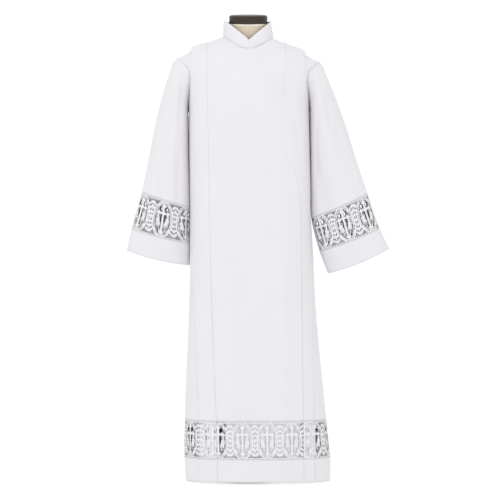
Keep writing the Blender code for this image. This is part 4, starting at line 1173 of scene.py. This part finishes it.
def cloth_material(name, colour, lines=(), crumple=0.0005):
    """White woven cloth, faintly uneven, with rows of stitches at the given heights of its chart."""
    material, shader, add, link = new_material(name)
    chart_uv = add("ShaderNodeUVMap", uv_map="cloth").outputs["UV"]
    split = add("ShaderNodeSeparateXYZ", {0: chart_uv})
    u, v = split.outputs[0], split.outputs[1]
    place = add("ShaderNodeTexCoord").outputs["Object"]
    soft = add("ShaderNodeTexNoise", {"Vector": place, "Scale": 9.0, "Detail": 3.0})
    fine = add("ShaderNodeTexNoise", {"Vector": place, "Scale": 46.0, "Detail": 4.0, "Roughness": 0.6})
    tone = add("ShaderNodeMixRGB", {"Fac": soft.outputs["Fac"], "Color1": (*colour, 1)})
    tone.inputs["Color2"].default_value = (*(c * 0.955 for c in colour), 1)
    base = tone.outputs["Color"]
    height = math_node(add, "MULTIPLY", weave_height(add, u, v), 0.12)
    if lines:
        stitches = stitch_mask(add, u, v, lines)
        mixed = add("ShaderNodeMixRGB", {"Fac": stitches, "Color1": base})
        mixed.inputs["Color2"].default_value = (*(min(c * 1.03, 1) for c in colour), 1)
        base = mixed.outputs["Color"]
        height = math_node(add, "ADD", height, math_node(add, "MULTIPLY", stitches, 0.9))
    link(base, shader.inputs["Base Color"])
    threads = add("ShaderNodeBump", {"Height": height, "Strength": 0.35, "Distance": 0.0003})
    folds = add("ShaderNodeBump", {"Height": fine.outputs["Fac"], "Distance": crumple})
    folds.inputs["Strength"].default_value = 0.5
    link(threads.outputs["Normal"], folds.inputs["Normal"])
    link(folds.outputs["Normal"], shader.inputs["Normal"])
    rough = add("ShaderNodeMapRange", {"Value": fine.outputs["Fac"], "To Min": 0.78, "To Max": 0.92})
    link(rough.outputs[0], shader.inputs["Roughness"])
    shader.inputs["Sheen Weight"].default_value = 0.12
    shader.inputs["Specular IOR Level"].default_value = 0.2
    return material


TAPE, TAPE_FROM = (0.82, 0.77, 0.68, 1), 1503.5   # its colour, and the height in mm where it begins


def linen_material():
    """Natural linen, with slubs along both threads and a pale tape round the top of the neck."""
    material, shader, add, link = new_material("linen")
    chart_uv = add("ShaderNodeUVMap", uv_map="cloth").outputs["UV"]
    split = add("ShaderNodeSeparateXYZ", {0: chart_uv})
    weave = weave_height(add, split.outputs[0], split.outputs[1])
    slubs = []
    for stretch in ((140, 1800, 1), (1800, 140, 1)):
        mapped = add("ShaderNodeMapping", {"Vector": chart_uv, "Scale": stretch})
        slub = add("ShaderNodeTexNoise", {"Vector": mapped.outputs[0], "Scale": 1.0, "Detail": 2.0})
        slubs.append(slub.outputs["Fac"])
    mix = math_node(add, "MULTIPLY", math_node(add, "ADD", slubs[0], slubs[1]), 0.5)
    ramp = add("ShaderNodeValToRGB", {"Fac": mix})
    ramp.color_ramp.elements[0].position, ramp.color_ramp.elements[1].position = 0.35, 0.65
    ramp.color_ramp.elements[0].color = (0.56, 0.47, 0.35, 1)
    ramp.color_ramp.elements[1].color = (0.74, 0.65, 0.52, 1)
    place = add("ShaderNodeSeparateXYZ", {0: add("ShaderNodeTexCoord").outputs["Object"]})
    lean = math_node(add, "MULTIPLY", place.outputs[1], NECK_LEAN)
    level = math_node(add, "SUBTRACT", place.outputs[2], lean)
    tape = math_node(add, "GREATER_THAN", level, TAPE_FROM * MM)
    colour = add("ShaderNodeMixRGB", {"Fac": tape, "Color1": ramp.outputs["Color"], "Color2": TAPE})
    link(colour.outputs["Color"], shader.inputs["Base Color"])
    height = math_node(add, "ADD", math_node(add, "MULTIPLY", weave, 0.4), mix)
    bump = add("ShaderNodeBump", {"Height": height, "Strength": 0.5, "Distance": 0.0004})
    link(bump.outputs["Normal"], shader.inputs["Normal"])
    shader.inputs["Roughness"].default_value = 0.9
    return material


def hard_material(name, colour, roughness, gloss, metallic=0.0):
    """A smooth lacquered or plated finish, with faint wear in its gloss."""
    material, shader, add, link = new_material(name)
    place = add("ShaderNodeTexCoord").outputs["Object"]
    marks = add("ShaderNodeTexNoise", {"Vector": place, "Scale": 60.0, "Detail": 5.0})
    tone = add("ShaderNodeMixRGB", {"Fac": marks.outputs["Fac"], "Color1": (*colour, 1)})
    tone.inputs["Color2"].default_value = (*(c * 0.85 for c in colour), 1)
    link(tone.outputs["Color"], shader.inputs["Base Color"])
    rough = add("ShaderNodeMapRange", {"Value": marks.outputs["Fac"], "To Min": roughness * 0.85})
    rough.inputs["To Max"].default_value = roughness * 1.15
    link(rough.outputs[0], shader.inputs["Roughness"])
    shader.inputs["Specular IOR Level"].default_value = gloss
    shader.inputs["Metallic"].default_value = metallic
    return material


WHITE, LACE_WHITE = (0.735, 0.722, 0.748), (0.77, 0.757, 0.783)
SHADE = (0.06, 0.056, 0.062)   # painted shade: the collar's wrong side and the sheets behind the lace, for the shadow inside the robe
cloth_plain = cloth_material("robe_cloth", WHITE, [0.003, 0.0065])
cloth_hem = cloth_material("robe_hem", WHITE, [0.0022, 0.0745])
cloth_cuff = cloth_material("robe_cuff", WHITE, [0.0025, 0.068])
cloth_collar = cloth_material("robe_collar", WHITE, [0.0045], 0.0002)
lace = cloth_material("robe_lace", LACE_WHITE, (), 0.0003)
# a near-black cloth of painted shade, standing in for the shadow inside the robe
painted_shade_cloth = cloth_material("robe_painted_shade", SHADE)
linen = linen_material()
cap_gloss = hard_material("cap_gloss", (0.038, 0.029, 0.022), 0.42, 0.22)
chrome = hard_material("chrome", (0.95, 0.95, 0.95), 0.12, 0.5, 1.0)


# ---- the pieces
def stands_for(obj, slot_name, *cad_nodes):
    """The piece replaces its CAD nodes and rides with the part; slot_name is not used."""
    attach(obj, "root")
    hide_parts(*cad_nodes)
    return obj


# The cut of a sheet: width and length in metres, and its flat area in square metres.
Cut = namedtuple("Cut", "width length area")


def robe():
    """Every sewn piece, by its CAD node's name."""
    made = {
        "front": body_panel("front_cloth", FRONT, cloth_plain),
        "back": body_panel("back_cloth", BACK, cloth_plain),
        "front_under": front_under(cloth_plain),
        "hem_front": hem_band("hem_front_cloth", FRONT, cloth_hem),
        "hem_back": hem_band("hem_back_cloth", BACK, cloth_hem),
        "lace_hem_front": hem_lace("hem_front_lace", FRONT, LACE_CENTRE_FRONT, lace),
        "lace_hem_back": hem_lace("hem_back_lace", BACK, LACE_CENTRE_BACK, lace),
        "collar_over": collar_half("collar_over_cloth", -1, 0.0, cloth_collar),
        "collar_under": collar_half("collar_under_cloth", 1, COLLAR_LAYERS, cloth_collar),
    }
    for hand_name, table, hand in (("left", LEFT_SLEEVE, -1), ("right", RIGHT_SLEEVE, 1)):
        sleeve, cuff = "sleeve_" + hand_name, "cuff_" + hand_name
        lace_first, cuff_first = SEAM_RINGS + LACE_RING, SEAM_RINGS + CUFF_RING
        made[sleeve] = sleeve_tube(sleeve + "_cloth", table, hand, 0, lace_first, cloth_plain)
        last = SEAM_RINGS + len(table) - 1
        made[cuff] = sleeve_tube(cuff + "_cloth", table, hand, cuff_first, last, cloth_cuff)
        for side_name, side in (("front", FRONT), ("back", BACK)):
            name = f"lace_sleeve_{hand_name}_{side_name}"
            made[name] = sleeve_lace(f"sleeve_{hand_name}_{side_name}_lace", table, hand, side, lace)
    return made


for node, made in robe().items():
    for piece, share in made if isinstance(made, list) else [(made, 1.0)]:
        stands_for(piece, "white_lace" if node.startswith("lace") else "white_cloth", node)
stands_for(torso_rings(linen), "linen", "form_torso")
stands_for(neck_cap(cap_gloss), "dark_cap", "form_cap")
for node in ("stand_pole", "stand_base"):
    nodes[node].data.materials[0] = chrome


# ---- camera, light and floor
CAMERA_X, CAMERA_AWAY, CAMERA_Z, VIEW_WIDTH = 0.0056, 8.0, 0.7611, 1.65
SENSOR = 36.0
camera = bpy.data.objects.new("camera", bpy.data.cameras.new("camera"))
camera.location = (CAMERA_X, -CAMERA_AWAY, CAMERA_Z)
camera.rotation_euler = (radians(90), 0, 0)
camera.data.sensor_width = SENSOR
camera.data.lens = SENSOR * CAMERA_AWAY / VIEW_WIDTH
bpy.context.collection.objects.link(camera)
bpy.context.scene.camera = camera

Lamp = namedtuple("Lamp", "name x y z size watts")
LAMPS = [
    Lamp("key", -1.9, -4.2, 3.7, 2.4, 42),
    Lamp("fill", 2.4, -5.2, 2.4, 3.0, 13),
]
AIM = Vector((0, 0, 1.2))
SKY_STRENGTH, FLOOR_GLOW, FLOOR_HALF = 1.03, 0.86, 4.0
for lamp in LAMPS:
    light = bpy.data.lights.new(lamp.name, "AREA")
    light.size = lamp.size
    light.energy = lamp.watts
    obj = bpy.data.objects.new(lamp.name, light)
    obj.location = (lamp.x, lamp.y, lamp.z)
    obj.rotation_euler = (AIM - obj.location).to_track_quat("-Z", "Y").to_euler()
    bpy.context.collection.objects.link(obj)

world = bpy.data.worlds.new("world")
world.use_nodes = True
sky = world.node_tree.nodes["Background"]
sky.inputs["Color"].default_value = (1.0, 1.0, 1.0, 1)
sky.inputs["Strength"].default_value = SKY_STRENGTH
bpy.context.scene.world = world
bpy.context.scene.view_settings.view_transform = "Standard"


white_floor, shader, _, _ = new_material("stage_floor")
shader.inputs["Base Color"].default_value = (0.2, 0.2, 0.2, 1)
shader.inputs["Roughness"].default_value = 1.0
shader.inputs["Specular IOR Level"].default_value = 0.0
shader.inputs["Emission Color"].default_value = (1, 1, 1, 1)
shader.inputs["Emission Strength"].default_value = FLOOR_GLOW   # as white as an overexposed studio floor
floor_mesh = bpy.data.meshes.new("floor")
corners = [(-FLOOR_HALF, -FLOOR_HALF, 0), (FLOOR_HALF, -FLOOR_HALF, 0), (FLOOR_HALF, FLOOR_HALF, 0)]
floor_mesh.from_pydata(corners + [(-FLOOR_HALF, FLOOR_HALF, 0)], [], [(0, 1, 2, 3)])
floor_mesh.materials.append(white_floor)
floor = bpy.data.objects.new("floor", floor_mesh)
bpy.context.collection.objects.link(floor)
